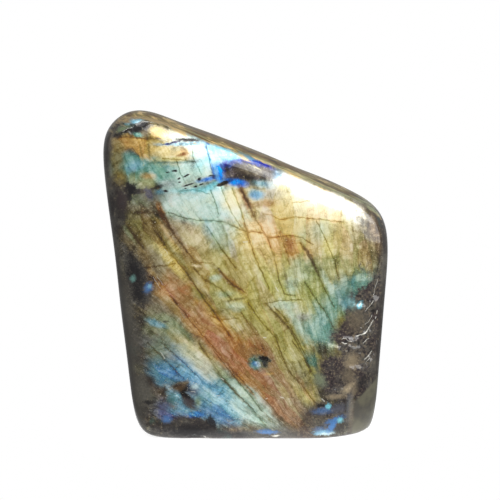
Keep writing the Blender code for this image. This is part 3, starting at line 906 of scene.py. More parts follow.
# Black slivers of the ridge: x, z, half length, half width, turn.
SLIVERS = [
    # cores of the black marks at the corner and on the ridge
    (-17.2, 90.0, 2.7, 0.35, -2),
    (-31.4, 94.1, 2.3, 0.65, 32),
    # single slivers
    (-21.2, 81.0, 0.75, 0.30, -6),
    (-17.7, 79.5, 1.1, 0.22, 22),
    (-19.9, 78.7, 0.5, 0.30, 10),
    (-19.8, 77.7, 0.4, 0.18, 10),
    (-14.0, 78.4, 0.6, 0.42, 45),
    (-16.9, 76.8, 1.8, 0.24, 16),
    (-15.0, 76.2, 0.5, 0.20, 0),
    (-13.2, 76.8, 0.7, 0.26, 18),
    (-18.0, 75.7, 0.4, 0.16, 0),
    (-24.0, 75.0, 0.8, 0.32, -4),
    (-23.4, 80.5, 0.6, 0.16, 10),
    (-10.2, 79.5, 0.9, 0.20, 8),
]

# Cracks: a half width, then the points the crack runs through.
CRACKS = [
    # upper ones along the grain
    (0.42, (-1.4, 75.6), (0.1, 73.0), (1.6, 70.0), (2.7, 67.4)),
    (0.17, (2.7, 67.4), (4.2, 64.8), (6.5, 61.0), (8.7, 55.1), (10.2, 48.0),
        (11.7, 44.3), (15.1, 43.5)),
    (0.15, (-4.0, 75.6), (-1.2, 68.9), (0.5, 62.6), (2.7, 55.9), (5.7, 49.1),
        (7.2, 45.8)),
    (0.13, (-7.4, 76.0), (-4.4, 68.9), (-1.0, 63.7)),
    (0.20, (-28.0, 70.8), (-24.7, 67.8), (-20.9, 61.1), (-14.9, 53.6)),
    (0.24, (-26.2, 71.4), (-24.6, 67.0), (-22.0, 63.0)),
    (0.18, (-15.7, 52.1), (-12.3, 48.4), (-7.8, 46.1), (-4.0, 42.6)),
    (0.36, (17.4, 58.2), (19.6, 55.5), (21.8, 50.3)),
    (0.20, (16.6, 59.2), (20.7, 52.9), (23.4, 46.5), (26.7, 40.2)),
    (0.22, (-28.1, 64.8), (-23.6, 57.7), (-17.6, 50.3), (-12.3, 42.4), (-8.9, 38.0),
        (-4.4, 31.2)),
    (0.30, (-34.9, 64.0), (-33.0, 60.7), (-30.7, 58.1)),
    # lower ones along the grain
    (0.17, (18.0, 47.6), (21.0, 42.8), (24.0, 39.0), (26.8, 33.4)),
    (0.20, (6.1, 41.3), (9.5, 37.9), (13.6, 33.4), (16.6, 27.4), (19.8, 20.6)),
    (0.13, (8.6, 40.4), (12.4, 36.2), (15.2, 31.6), (18.0, 26.0)),
    (0.17, (0.8, 41.6), (4.6, 36.0), (9.1, 31.2), (12.1, 22.9), (14.0, 19.9)),
    (0.24, (-14.0, 29.3), (-9.7, 22.9), (-5.9, 17.3), (0.5, 11.3), (6.1, 4.5)),
    (0.14, (-9.6, 27.0), (-4.4, 20.6), (1.6, 13.2), (5.2, 8.6)),
    (0.15, (13.2, 21.0), (17.4, 16.1), (21.1, 11.3)),
    (0.13, (-29.3, 29.3), (-24.0, 24.1), (-18.7, 18.8)),
    (0.12, (-25.4, 29.6), (-19.5, 24.4), (-13.6, 18.6)),
    (0.13, (-1.4, 38.6), (2.0, 33.4), (5.6, 27.6)),
    (0.12, (14.2, 30.0), (19.2, 22.6), (23.4, 15.0)),
    # short ones of the middle
    (0.16, (-8.2, 51.8), (-5.9, 49.1), (-3.6, 46.9), (-0.3, 44.7)),
    (0.15, (10.2, 62.6), (11.0, 60.3), (12.5, 56.6), (13.2, 52.9)),
    (0.13, (21.4, 66.0), (24.2, 60.4), (26.8, 54.0), (28.2, 48.6)),
    (0.12, (-11.4, 64.2), (-7.0, 57.4), (-2.8, 51.6)),
    (0.12, (-10.4, 75.0), (-9.0, 71.4), (-7.9, 67.8)),
    # in the copper streak
    (0.13, (-22.6, 43.4), (-15.2, 34.6), (-6.8, 24.6), (2.4, 14.2)),
    # across the grain
    (0.20, (-23.2, 68.7), (-18.7, 67.0), (-13.4, 66.1), (-6.7, 65.8), (0.0, 62.9),
        (5.0, 62.6)),
    (0.17, (5.0, 62.6), (6.5, 61.0), (14.3, 61.5), (17.0, 61.0), (20.3, 58.9)),
    (0.14, (5.7, 68.0), (7.6, 67.8), (10.6, 66.3), (15.0, 67.1), (23.0, 66.3),
        (29.7, 65.5)),
    (0.10, (14.3, 71.4), (19.2, 72.0)),
    (0.24, (-39.0, 90.9), (-35.0, 91.0), (-29.4, 90.4), (-25.4, 90.5)),
    (0.11, (-20.0, 75.0), (-15.0, 75.3), (-10.7, 74.0)),
    (0.10, (6.1, 41.3), (10.2, 42.2), (16.6, 42.4)),
    (0.12, (-30.0, 51.8), (-24.0, 52.7), (-21.0, 53.2)),
    (0.22, (-33.7, 68.5), (-25.5, 68.5)),
    (0.09, (-16.4, 53.6), (-10.0, 53.4)),
    (0.08, (-11.2, 37.8), (-7.0, 36.4), (-2.2, 37.0)),
    (0.12, (-24.7, 84.6), (-19.0, 84.3), (-15.4, 83.6)),
    # on the ridge
    (0.10, (-16.4, 88.6), (-15.4, 84.0), (-13.2, 80.0)),
    (0.10, (-11.8, 88.4), (-10.6, 83.0), (-9.4, 78.6)),
    (0.10, (-20.6, 84.0), (-19.6, 80.4), (-17.4, 76.4)),
]

# Pale lines and specks where light catches ledges and grit, in the same form.
GLEAMS = [
    # glints of the blue foot
    (0.10, (-25.5, 26.5), (-24.2, 24.7)),
    (0.10, (-16.3, 14.9), (-15.2, 14.5)),
    (0.09, (-8.6, 13.7), (-7.5, 13.3)),
    # ledges of the fracture
    (0.09, (36.0, 38.8), (37.3, 40.2), (38.5, 42.0)),
    (0.08, (36.2, 34.8), (37.2, 35.6), (38.2, 37.6)),
    (0.14, (39.2, 36.4), (39.4, 37.0)),
    (0.15, (33.6, 31.3), (35.2, 31.6), (36.6, 32.6), (37.8, 34.4), (38.6, 36.0)),
    (0.09, (35.4, 29.2), (36.4, 29.9), (37.2, 30.6)),
    (0.15, (36.0, 24.2), (37.2, 25.2), (38.2, 26.6)),
    (0.08, (36.6, 23.4), (37.6, 24.4)),
    (0.12, (29.0, 29.4), (30.0, 29.0), (30.6, 29.1)),
    (0.07, (29.0, 30.4), (30.4, 30.8), (31.2, 29.8), (32.0, 29.7)),
    (0.10, (30.2, 27.0), (30.7, 27.0)),
    (0.09, (34.2, 26.2), (34.9, 26.2)),
    (0.08, (39.6, 29.8), (40.0, 28.6)),
    (0.08, (38.7, 43.6), (39.1, 45.8), (39.9, 48.4)),
    (0.13, (39.5, 38.0), (39.9, 38.8)),
    (0.12, (34.7, 33.7), (35.0, 33.7)),
    # lips of the corner crevice
    (0.07, (-36.8, 92.4), (-35.4, 93.5), (-34.2, 93.8)),
    (0.05, (-31.2, 95.4), (-27.7, 95.3), (-24.7, 94.7), (-22.7, 93.7)),
    # sparks and scratches
    (0.16, (5.5, 31.1), (6.2, 31.0)),
    (0.18, (10.7, 13.2), (11.6, 12.9)),
    (0.14, (12.9, 12.7), (13.4, 12.6)),
    (0.14, (6.2, 12.5), (6.7, 12.6)),
    (0.12, (9.2, 46.0), (9.8, 45.0)),
    (0.20, (-0.6, 59.8), (0.5, 59.7)),
    (0.14, (-7.4, 18.6), (-6.6, 18.3)),
    (0.12, (-4.8, 56.8), (-4.0, 56.4)),
    (0.10, (-24.4, 57.6), (-23.4, 56.4)),
    (0.06, (-26.6, 49.4), (-24.6, 46.8)),
    (0.05, (-27.8, 49.0), (-25.6, 45.8)),
    (0.22, (23.3, 12.5), (23.8, 11.9)),
]

# Strips with short strokes across them: both ends, half the length of a stroke and how many
# there are; then half the width of a stroke.
HATCHED_STRIPS = {
    "upper_strip": (-26.0, 58.6, -19.6, 50.6, 0.8, 9),
    "low_strip": (-22.4, 59.6, -20.2, 57.0, 0.5, 4),
}
HATCH_WIDTH = 0.045

# ---------------------------------------------------------------- what varies the finish

# The grain fans out from this point, below the lower right corner; across it, an angle is
# measured along a circle of this radius.
GRAIN_CENTRE = (32.0, -14.0)
GRAIN_RADIUS = 70.0

# Drifts of the coordinates: the scale of the noise, how far it shifts them, its detail.
BEND_DRIFT = (0.07, 4.0, 2.0)
GRAIN_DRIFT = (0.5, 0.9, 3.0)
LOOSE_DRIFT = (0.35, 2.4, 4.0)
TIGHT_DRIFT = (0.8, 0.9, 3.0)
GLEAM_DRIFT = (0.5, 0.9, 2.0)

# How far a cleavage panel shifts what is painted on it, and the share of that for marks.
PANEL_SHIFT = 1.6
TIGHT_SHARE = 0.1

# Noises: the coordinates they lie in, scale, detail and roughness.
NOISES = {
    "clouds": ("place", 0.10, 4.0, 0.60),
    "flecks": ("place", 0.80, 4.0, 0.65),
    "crumbs": ("place", 1.30, 4.0, 0.70),
    "coarse": ("front", 0.20, 4.0, 0.62),
    "fine": ("front", 1.00, 4.0, 0.65),
    "grit": ("front", 2.40, 4.0, 0.70),
    "specks": ("front", 2.60, 2.0, 0.60),
    "crumple": ("bent", 0.55, 4.0, 0.65),
    "mottle": ("slope", 0.90, 4.0, 0.70),
    "drifts": ("slope", 0.30, 4.0, 0.60),
    "bands": ("bands", 1.00, 4.0, 0.65),
}

# Noises of the fanned grain: scales across and along it, detail and roughness.
GRAIN_NOISES = {
    "patches": (0.22, 0.10, 4.0, 0.60),
    "streaks": (0.40, 0.06, 4.0, 0.62),
    "ledges": (0.14, 0.22, 4.0, 0.62),
    "lamellae": (2.40, 0.24, 3.0, 0.60),
    "hatching": (0.34, 2.00, 3.0, 0.60),
}

# Coordinates stretched along the slanting top: shares of X and Z, of Y, of X and Z.
SLOPE_STRETCH = ((0.20, 0.30), 0.90, (0.42, 0.90))
BAND_STRETCH = ((0.16, 0.10), 0.16, (0.23, 0.50))

# Straight borders of the ground facet: one coordinate, less a share of another.
SLANTS = {"facet_side": ("x", "z", 0.06), "facet_top": ("z", "x", 0.98)}

# What breaks the edges of zones and lines: patterns and their weights.
FIELD_EDGES = {"coarse": 1.2}
SOFT_MARK_EDGES = {"coarse": 1.4}
MARK_EDGES = {"fine": 1.1, "coarse": 0.9}
BODY_EDGES = {"coarse": 1.4, "fine": 0.6}
SPOT_EDGES = {"fine": 1.6, "grit": 2.0}
CRACK_EDGES = {"fine": 2.0}
GLEAM_EDGES = {"grit": 2.6}
TOP_BORDER = {"bands": 1.4}
SLIVER_SOFTNESS = 0.4

# Layers of colour: tone, way of mixing, then the steps whose product is the mask. A step
# has a pattern, the values where it starts and ends, and its height where that isn't 1.
BODY_LAYERS = {
    "gray_clouds": ("matrix_gray", "MIX", ("clouds", 0.44, 0.64)),
    "bark_flecks": ("bark", "MIX", ("flecks", 0.56, 0.70, 0.55)),
    "black_flecks": ("black", "MIX", ("flecks", 0.44, 0.32, 0.60)),
    "teal_breath": ("deep_teal", "MIX", ("clouds", 0.40, 0.30, 0.35)),
    "pale_left_edge": ("matrix_gray", "MIX", ("x", -27.0, -34.0, 0.75), ("z", 60.0, 40.0)),
}
FLASH_LAYERS = {
    "dark_in_blue": (
        "deep_teal", "MIX", ("flecks", 0.52, 0.40, 0.35), ("blue_over_red", 0.10, 0.35),
        ("blue", 0.95, 0.60), ("z", 66.0, 60.0),
    ),
    "mint_panels": ("mint", "SOFT_LIGHT", ("lean", 0.55, 1.00, 0.30)),
    "amber_panels": ("amber", "SOFT_LIGHT", ("lean", 0.45, 0.00, 0.25)),
    "light_patches": ("cream", "SOFT_LIGHT", ("patches", 0.52, 0.66, 0.35)),
    "moss_patches": ("moss", "MIX", ("patches", 0.47, 0.34, 0.30)),
}
# Painted highlights: pale lines across the grain where light catches ledges, and brighter glints
# on some of them.
LEDGE_HIGHLIGHT_LAYERS = {
    "rung_highlights": ("cream", "SOFT_LIGHT", ("hatching_middle", 0.030, 0.0, 0.65), ("fine", 0.50, 0.62)),
    "ledge_glints": ("wheat", "MIX", ("hatching_middle", 0.012, 0.0, 0.75), ("fine", 0.55, 0.66)),
}
# Painted highlights: small pale glint specks in the lower flash.
GLINT_SPECK_LAYERS = {
    "painted_glint_specks": ("cream", "MIX", ("specks", 0.65, 0.72, 0.80), ("z", 78.0, 70.0)),
}
PLUM_LAYERS = {
    "gray_clouds": ("matrix_gray", "MIX", ("clouds", 0.44, 0.64, 0.80)),
    "bark_crumbs": ("bark", "MIX", ("crumbs", 0.52, 0.64, 0.80)),
    "black_crumbs": ("black", "MIX", ("crumbs", 0.46, 0.36, 0.90)),
}
GLEAM_LAYERS = {"gleams": ("glint", "MIX", ("nearest_gleam", 1.4, 0.0, 0.75))}
SLOPE_LAYERS = {
    "gold_mottle": ("gold", "MIX", ("mottle", 0.42, 0.58)),
    "sage_drifts": ("sage", "MIX", ("drifts", 0.44, 0.56, 0.70)),
    "umber_mottle": ("umber", "MIX", ("mottle", 0.46, 0.34)),
    "cream_mottle": ("cream", "MIX", ("mottle", 0.60, 0.68, 0.80)),
    "bark_end": ("bark", "MIX", ("x", -14.0, -26.0, 0.70)),
}
TOP_LAYERS = {
    "moss_bands": ("moss", "MIX", ("bands", 0.44, 0.56)),
    "gold_bands": ("gold", "MIX", ("bands", 0.55, 0.63, 0.80)),
    "black_bands": ("black", "MIX", ("bands", 0.43, 0.34)),
}
SLAB_LAYERS = {"olive_clouds": ("slab", "MIX", ("clouds", 0.36, 0.60))}

# Steps of masks, in the same form.
PILLOW_STREAKS = ("streaks_middle", 0.10, 0.0, 0.50)
PILLOW_LEDGES = ("ledges_middle", 0.08, 0.0, 0.40)
PANEL_BORDERS = (("edge", 0.20, 0.0, 0.34), ("coarse", 0.40, 0.56))
LONG_HAIRS = (("streaks_middle", 0.008, 0.0, 0.50), ("fine", 0.36, 0.56))
CROSS_HAIRS = (("ledges_middle", 0.008, 0.0, 0.60), ("coarse", 0.40, 0.62))
STAINS = ("nearest_crack", 5.0, 0.0, 0.50)
DRAWN_CRACKS = ("nearest_crack", 2.0, 0.0, 0.85)
CRACK_GAPS = ("patches", 0.25, 0.55)
RIGHT_SIDE = ("x", 8.0, 26.0)
# Painted shade: the colour is darker where the front turns up into the bevel.
BEVEL_PAINTED_SHADE = ("normal_z", 0.10, 0.50, 0.25)
BODY_IN_TOP = ("clouds", 0.50, 0.62, 0.50)
FLAT_TOP = ("normal_z", 0.82, 0.89, 0.90)
TOP_RISE = ("rise", 0.60, 0.84)
FACING_FRONT = (("forward", 0.30, 0.80), ("sideways", 0.75, 0.30))
GROUND_FACET = (
    ("facet_side", 31.8, 32.8, 0.90), ("facet_top", -20.4, -21.6), ("forward", 0.05, 0.35),
)
FLASHING = ("shine", 0.06, 0.30)
COATED = ("shine", 0.004, 0.03, 0.70)
DULL_TOP = ("normal_z", 0.60, 0.88, 0.50)

# The shade of the flash: how much each pattern darkens it where that pattern is low.
SHADE_WEIGHTS = {
    "streaks": 0.70,
    "ledges": 0.80,
    "crumple": 1.20,
    "lamellae": 0.25,
    "hatching": 0.40,
    "grit": 1.40,
    "value": 0.30,
}
# The level of the soft pillows between creases, and how calm the shade is on bright colours:
# where the calm starts and ends, by how much, and its least.
PILLOW_LEVEL = 0.34
CALM_STEP = (0.95, 0.50, 0.40)
CALM_LOW = 0.6

# How the panels and the shade change hue, saturation, value and contrast.
SAME_HUE = 0.5
HUE_SWING = 0.03
FLASH_SATURATION = 1.08
FLASH_VALUE = 1.12
SHADE_VALUE = 0.25
FLASH_GAMMA = 0.95
SHADE_GAMMA = 0.6

# How dark cracks are, the share of umber in them, and the grain of the bare body.
CRACK_GAMMA = 2.4
UMBER_IN_CRACKS = 0.6
BODY_GRAIN = {"grit": 1.2, "crumbs": 1.2}

# The skin: roughness and metal of the flash, fine relief (distance in mm) and the coat.
BODY_ROUGHNESS = 0.62
FLASH_SMOOTHNESS = 0.24
FLASH_METAL = 0.4
SPECULAR_LEVEL = 0.25
BUMP_WEIGHTS = {"lamellae": 0.5, "hatching": 0.3, "grit": 0.4}
BUMP_STRENGTH = 0.3
BUMP_DISTANCE = 0.3
COAT_IN_DARK = 0.3
COAT_IOR = 1.55

# What a zone and a line take in.
PLACE_INPUTS = dict.fromkeys(("Plane", "Centre", "Spread", "Middle"), "Vector") | {"Turn": "Float"}
ZONE_INPUTS = PLACE_INPUTS | dict.fromkeys(("Break", "Outer", "Inner", "Strength"), "Float")
ZONE_INPUTS |= {"Under": "Color", "Over": "Color"}
LINE_INPUTS = PLACE_INPUTS | {"Reach": "Vector", "Thinness": "Float", "Nearest": "Float"}

# Further away than any line matters, in half widths.
FAR = 50.0

BLACK = (0.0, 0.0, 0.0, 1.0)
WHITE = (1.0, 1.0, 1.0, 1.0)


# ---------------------------------------------------------------- the finish


def start_group(name, inputs, output, kind):
    """A node group with its sockets, and the plane placed on the middle of its zone or line."""
    tree = bpy.data.node_groups.new(name, "ShaderNodeTree")
    for label, socket in inputs.items():
        tree.interface.new_socket(label, in_out="INPUT", socket_type="NodeSocket" + socket)
    tree.interface.new_socket(output, in_out="OUTPUT", socket_type="NodeSocket" + kind)
    graph = Graph(tree)
    given = dict(zip(inputs, graph.outputs(graph.add("NodeGroupInput"))))
    level = graph.add("VectorRotate", {"rotation_type": "Z_AXIS"}, {
        "Vector": given["Plane"], "Center": given["Centre"], "Angle": given["Turn"],
    })
    placed = graph.add("VectorMath", {"operation": "MULTIPLY_ADD"}, {
        0: level, 1: given["Spread"], 2: given["Middle"],
    })
    return graph, given, placed


def make_zone_group():
    """The node group that lays one ragged ellipse of colour over another colour."""
    graph, given, placed = start_group("zone", ZONE_INPUTS, "Colour", "Color")
    reach = graph.length(placed) + given["Break"]
    mask = graph.step(reach, given["Outer"], given["Inner"], given["Strength"])
    graph.add("NodeGroupOutput", {}, {"Colour": graph.blend(mask, given["Under"], given["Over"])})
    return graph.tree


def make_line_group():
    """The node group that keeps the distance to the nearest piece of a line, in half widths."""
    graph, given, placed = start_group("line", LINE_INPUTS, "Nearest", "Float")
    beyond = graph.vector("SUBTRACT", graph.vector("ABSOLUTE", placed), given["Reach"])
    away = graph.length(graph.vector("MAXIMUM", beyond, (0.0, 0.0, 0.0)))
    nearest = graph.math("MINIMUM", given["Nearest"], away * given["Thinness"])
    graph.add("NodeGroupOutput", {}, {"Nearest": nearest})
    return graph.tree


def hatches(strips):
    """Short lines across the strips of a table, in the form of a table of lines."""
    lines = []
    for x0, z0, x1, z1, half_length, count in strips.values():
        length = math.hypot(x1 - x0, z1 - z0)
        side_x, side_z = (z1 - z0) / length * half_length, (x0 - x1) / length * half_length
        for index in range(count):
            share = (index + 0.5) / count
            x, z = x0 + (x1 - x0) * share, z0 + (z1 - z0) * share
            lines.append((HATCH_WIDTH, (x - side_x, z - side_z), (x + side_x, z + side_z)))
    return lines


class StoneFinish:
    """The finish of the stone: a dark speckled feldspar under flashing cleavage panels.

    patterns holds every signal that the tables above name: coordinates in millimetres,
    parts of the normal, noises, and what the later steps measure on the colours.
    """

    def __init__(self, graph, colours, sizes):
        self.graph = graph
        self.sizes = sizes
        tones = StoneColours.__annotations__
        self.palette = {tone: (*getattr(colours, tone), 1.0) for tone in tones}
        self.zone = make_zone_group()
        self.line = make_line_group()
        _, normal, _, place, *_ = graph.outputs(graph.add("TexCoord"))
        place = graph.vector("SCALE", place, scale=1 / MM)
        self.patterns = dict(zip("xyz", graph.split(place)))
        self.patterns |= zip(("normal_x", "normal_y", "normal_z"), graph.split(normal))
        self.front = graph.join(self.patterns["x"], self.patterns["z"])
        bent = graph.drift(self.front, *BEND_DRIFT)
        self.add_noises({
            "place": place,
            "front": self.front,
            "bent": bent,
            "slope": self.stretched(SLOPE_STRETCH),
            "bands": self.stretched(BAND_STRETCH),
        })
        shift = self.add_grain(bent)
        little = graph.vector("SCALE", shift, scale=TIGHT_SHARE)
        self.loose = graph.vector("ADD", graph.drift(bent, *LOOSE_DRIFT), shift)
        self.tight = graph.vector("ADD", graph.drift(self.front, *TIGHT_DRIFT), little)
        self.add_measures()

    def stretched(self, shares):
        """Coordinates stretched along a slope, from shares of X and Z, of Y, and of X and Z."""
        x, y, z = (self.patterns[name] for name in "xyz")
        (along_x, along_z), y_share, (across_x, across_z) = shares
        return self.graph.join(x * along_x + z * along_z, y * y_share, z * across_z + x * across_x)

    def add_noises(self, spaces):
        """The noises that don't follow the grain."""
        for name, (space, *settings) in NOISES.items():
            self.patterns[name] = self.graph.cloud(spaces[space], *settings)

    def add_grain(self, bent):
        """The noises and panels of the fanned grain; returns how far each panel is shifted."""
        graph = self.graph
        x, z, _ = graph.split(graph.drift(bent, *GRAIN_DRIFT))
        x, z = x - GRAIN_CENTRE[0], z - GRAIN_CENTRE[1]
        across = graph.math("ARCTAN2", z, x) * -GRAIN_RADIUS
        along = graph.length(graph.join(x, z))
        for name, (across_scale, along_scale, *settings) in GRAIN_NOISES.items():
            grain = graph.join(across * across_scale, along * along_scale)
            self.patterns[name] = graph.cloud(grain, 1.0, *settings)
        width, length = self.sizes.panel_width, self.sizes.panel_length
        cells = graph.join(across * (1 / width), along * (1 / length))
        sockets = {"Vector": cells, "Scale": 1.0}
        panel = graph.add("TexVoronoi", {"feature": "F1"}, sockets, TEXTURE_COLOUR)
        self.patterns["edge"] = graph.add("TexVoronoi", {"feature": "DISTANCE_TO_EDGE"}, sockets)
        self.patterns |= zip(("tint", "value", "lean"), graph.split(panel))
        return graph.vector("SCALE", graph.vector("SUBTRACT", panel, HALVES), scale=PANEL_SHIFT)

    def add_measures(self):
        """What is worked out from the other patterns."""
        patterns = self.patterns
        for name in ("streaks", "ledges", "hatching"):
            patterns[name + "_middle"] = abs(patterns[name] - HALF)
        patterns["forward"] = -patterns["normal_y"]
        patterns["sideways"] = abs(patterns["normal_x"])
        for name, (first, second, share) in SLANTS.items():
            patterns[name] = patterns[first] - patterns[second] * share
        patterns["rise"] = self.uneven(TOP_BORDER) + patterns["normal_z"]

    def mask(self, *steps):
        """The product of steps: a pattern's name, where the step starts and ends, its height."""
        return reduce(mul, [self.graph.step(self.patterns[name], *ends) for name, *ends in steps])

    def uneven(self, weights):
        """The sum of some patterns about their middles, each with its weight."""
        patterns = self.patterns
        return reduce(add, [(patterns[name] - HALF) * weight for name, weight in weights.items()])

    def lay(self, colour, layers):
        """Lay the tones of a table over a colour, one after the other."""
        for tone, mode, *steps in layers.values():
            colour = self.graph.blend(self.mask(*steps), colour, self.palette[tone], mode)
        return colour

    def paint(self, under, zones, plane, edges, palette=None):
        """Lay zones over a colour, one after the other, with edges broken by some patterns."""
        ragged_edge = self.uneven(edges)
        for x, z, half_length, half_width, turn, softness, tone, strength in zones:
            under = self.graph.add("Group", {"node_tree": self.zone}, {
                "Plane": plane,
                "Centre": (x, z, 0.0),
                "Turn": -math.radians(turn),
                "Spread": (1 / half_length, 1 / half_width, 0.0),
                "Middle": (-x / half_length, -z / half_width, 0.0),
                "Break": ragged_edge,
                "Outer": 1.0 + softness,
                "Inner": max(1.0 - softness, 0.0),
                "Strength": strength,
                "Under": under,
                "Over": (palette or self.palette)[tone],
            })
        return under

    def nearest_line(self, plane, lines):
        """How far the nearest line of a table is, in half widths of that line."""
        nearest = FAR
        for half_width, *points in lines:
            for (x0, z0), (x1, z1) in zip(points, points[1:]):
                x, z = (x0 + x1) / 2, (z0 + z1) / 2
                nearest = self.graph.add("Group", {"node_tree": self.line}, {
                    "Plane": plane,
                    "Centre": (x, z, 0.0),
                    "Turn": -math.atan2(z1 - z0, x1 - x0),
                    "Spread": (1.0, 1.0, 0.0),
                    "Middle": (-x, -z, 0.0),
                    "Reach": (math.hypot(x1 - x0, z1 - z0) / 2, 0.0, 0.0),
                    "Thinness": 1 / half_width,
                    "Nearest": nearest,
                })
        return nearest

    def gamma(self, colour, power):
        """A colour, darker where the power is above 1."""
        return self.graph.add("Gamma", {}, {"Color": colour, "Gamma": power})

    def brightness(self, colour):
        """How bright a colour is."""
        return self.graph.add("RGBToBW", {}, {0: colour})

    def toned(self, colour, hue, saturation, value):
        """A colour with its hue, saturation and value changed."""
        return self.graph.add("HueSaturation", {}, {
            "Color": colour, "Hue": hue, "Saturation": saturation, "Value": value,
        })

    def flash_colours(self, body):
        """The fields of the flash over the body, its marks, and panels that lean to a tone."""
        flash = self.paint(body, FIELDS.values(), self.loose, FIELD_EDGES)
        flash = self.paint(flash, SOFT_MARKS.values(), self.tight, SOFT_MARK_EDGES)
        flash = self.paint(flash, MARKS.values(), self.tight, MARK_EDGES)
        red, _, blue, *_ = self.graph.outputs(self.graph.add("SeparateColor", {}, {0: flash}))
        self.patterns |= {"blue": blue, "blue_over_red": blue - red}
        return self.lay(flash, FLASH_LAYERS)

    def shaded(self, flash):
        """The flash, darker in creases, between panels and in the dips of the fine patterns, then
        painted ledge highlights.
        """
        calm = self.graph.step(self.brightness(flash), *CALM_STEP) + CALM_LOW
        shade = self.mask(PILLOW_STREAKS) + self.mask(PILLOW_LEDGES) - PILLOW_LEVEL
        for name, weight in SHADE_WEIGHTS.items():
            shade = shade - (self.patterns[name] - HALF) * weight
        shade = (self.mask(*PANEL_BORDERS) + shade) * calm
        hue = (self.patterns["tint"] - HALF) * HUE_SWING + SAME_HUE
        flash = self.toned(flash, hue, FLASH_SATURATION, FLASH_VALUE - shade * SHADE_VALUE)
        return self.lay(self.gamma(flash, shade * SHADE_GAMMA + FLASH_GAMMA), LEDGE_HIGHLIGHT_LAYERS)

    def cracked(self, flash):
        """Cracks: drawn ones with stains beside them, hairlines of the grain, and painted glint
        specks.
        """
        nearest = self.nearest_line(self.tight, CRACKS + hatches(HATCHED_STRIPS))
        self.patterns["nearest_crack"] = nearest + self.uneven(CRACK_EDGES)
        flash = self.gamma(flash, self.mask(STAINS) + 1.0)
        hairs = self.graph.math("MAXIMUM", self.mask(*LONG_HAIRS), self.mask(*CROSS_HAIRS))
        hairs = self.graph.math("MAXIMUM", hairs, self.mask(DRAWN_CRACKS)) * self.mask(CRACK_GAPS)
        deep = self.gamma(flash, CRACK_GAMMA)
        deep = self.graph.blend(UMBER_IN_CRACKS, deep, self.palette["umber"])
        return self.lay(self.graph.blend(hairs, flash, deep), GLINT_SPECK_LAYERS)

    def bared(self, flash, body):
        """The flash with slivers, the body that shows through it, and spots over both, all darker
        where the surface faces up, as painted shade.
        """
        slivers = [(*sliver, SLIVER_SOFTNESS, "black", 1.0) for sliver in SLIVERS]
        flash = self.paint(flash, slivers, self.tight, MARK_EDGES)
        bare = self.paint(BLACK, BODY_ZONES.values(), self.tight, BODY_EDGES, {"matrix": WHITE})
        plum = self.lay(self.palette["plum"], PLUM_LAYERS)
        flash = self.graph.blend(bare, flash, self.graph.blend(self.mask(RIGHT_SIDE), body, plum))
        flash = self.paint(flash, SPOTS.values(), self.tight, SPOT_EDGES)
        # the body's grain, and painted shade that darkens whatever faces up
        grain = self.brightness(bare) * self.uneven(BODY_GRAIN) + 1.0 - self.mask(BEVEL_PAINTED_SHADE)
        return self.toned(flash, SAME_HUE, 1.0, grain)

    def gleaming(self, flash):
        """The flash with pale lines and specks on it."""
        nearest = self.nearest_line(self.graph.drift(self.front, *GLEAM_DRIFT), GLEAMS)
        self.patterns["nearest_gleam"] = nearest + self.uneven(GLEAM_EDGES)
        return self.lay(flash, GLEAM_LAYERS)

    def top_colours(self, body):
        """The mottled olive and gold of the slanting top."""
        slope = self.lay(self.palette["moss"], SLOPE_LAYERS)
        flat = self.lay(self.palette["umber"], TOP_LAYERS)
        flat = self.graph.blend(self.mask(BODY_IN_TOP), flat, body)
        return self.graph.blend(self.mask(FLAT_TOP), slope, flat)

    def colour(self):
        """All the colours together: the flash lies on the front and fades as the stone turns."""
        body = self.lay(self.palette["matrix"], BODY_LAYERS)
        flash = self.cracked(self.shaded(self.flash_colours(body)))
        flash = self.gleaming(self.bared(flash, body))
        colour = self.graph.blend(self.mask(*FACING_FRONT), body, flash)
        slab = self.lay(self.palette["matrix_gray"], SLAB_LAYERS)
        colour = self.graph.blend(self.mask(*GROUND_FACET), colour, slab)
        return self.graph.blend(self.mask(TOP_RISE), colour, self.top_colours(body))

    def shader(self):
        """The shader: a clear polished coat over a satin flash."""
        colour = self.colour()
        self.patterns["shine"] = self.brightness(colour)
        flashing = self.mask(FLASHING)
        relief = [self.patterns[name] * weight for name, weight in BUMP_WEIGHTS.items()]
        return self.graph.add("BsdfPrincipled", {}, {
            "Base Color": colour,
            "Roughness": BODY_ROUGHNESS - flashing * FLASH_SMOOTHNESS,
            "Metallic": flashing * FLASH_METAL,
            "Specular IOR Level": SPECULAR_LEVEL,
            "Normal": self.graph.add("Bump", {}, {
                "Strength": BUMP_STRENGTH,
                "Distance": BUMP_DISTANCE * MM,
                "Height": reduce(add, relief),
            }),
            "Coat Weight": (self.mask(COATED) + COAT_IN_DARK) * (1.0 - self.mask(DULL_TOP)),
            "Coat Roughness": self.sizes.coat_roughness,
            "Coat IOR": COAT_IOR,
        })


def make_stone_material(colours, sizes):
    """Polished labradorite."""
    material = bpy.data.materials.new("polished_labradorite")
    material.use_nodes = True
    graph = Graph(material.node_tree)
    graph.add("OutputMaterial", {}, {0: StoneFinish(graph, colours, sizes).shader()})
    return material


# ---------------------------------------------------------------- operators


class LABRADORITE_OT_stone(bpy.types.Operator):
    """Build the stone's fine mesh and its flashing finish"""

    bl_idname = "labradorite.stone"
    bl_label = "Stone"

    def execute(self, context):
        scene = context.scene
        stone = bpy.data.objects.new("stone_body", make_stone_mesh(scene.stone_sizes.cuts))
        scene.collection.objects.link(stone)
        stone.data.materials.append(make_stone_material(scene.stone_colours, scene.stone_sizes))
        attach(stone, "root")
        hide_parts(STONE_NODE)
        return {"FINISHED"}


def aim_at(thing, place, aim):
    """Put a light or a camera at a place and turn it to a point."""
    thing.location = place
    thing.rotation_euler = (aim - place).to_track_quat("-Z", "Y").to_euler()


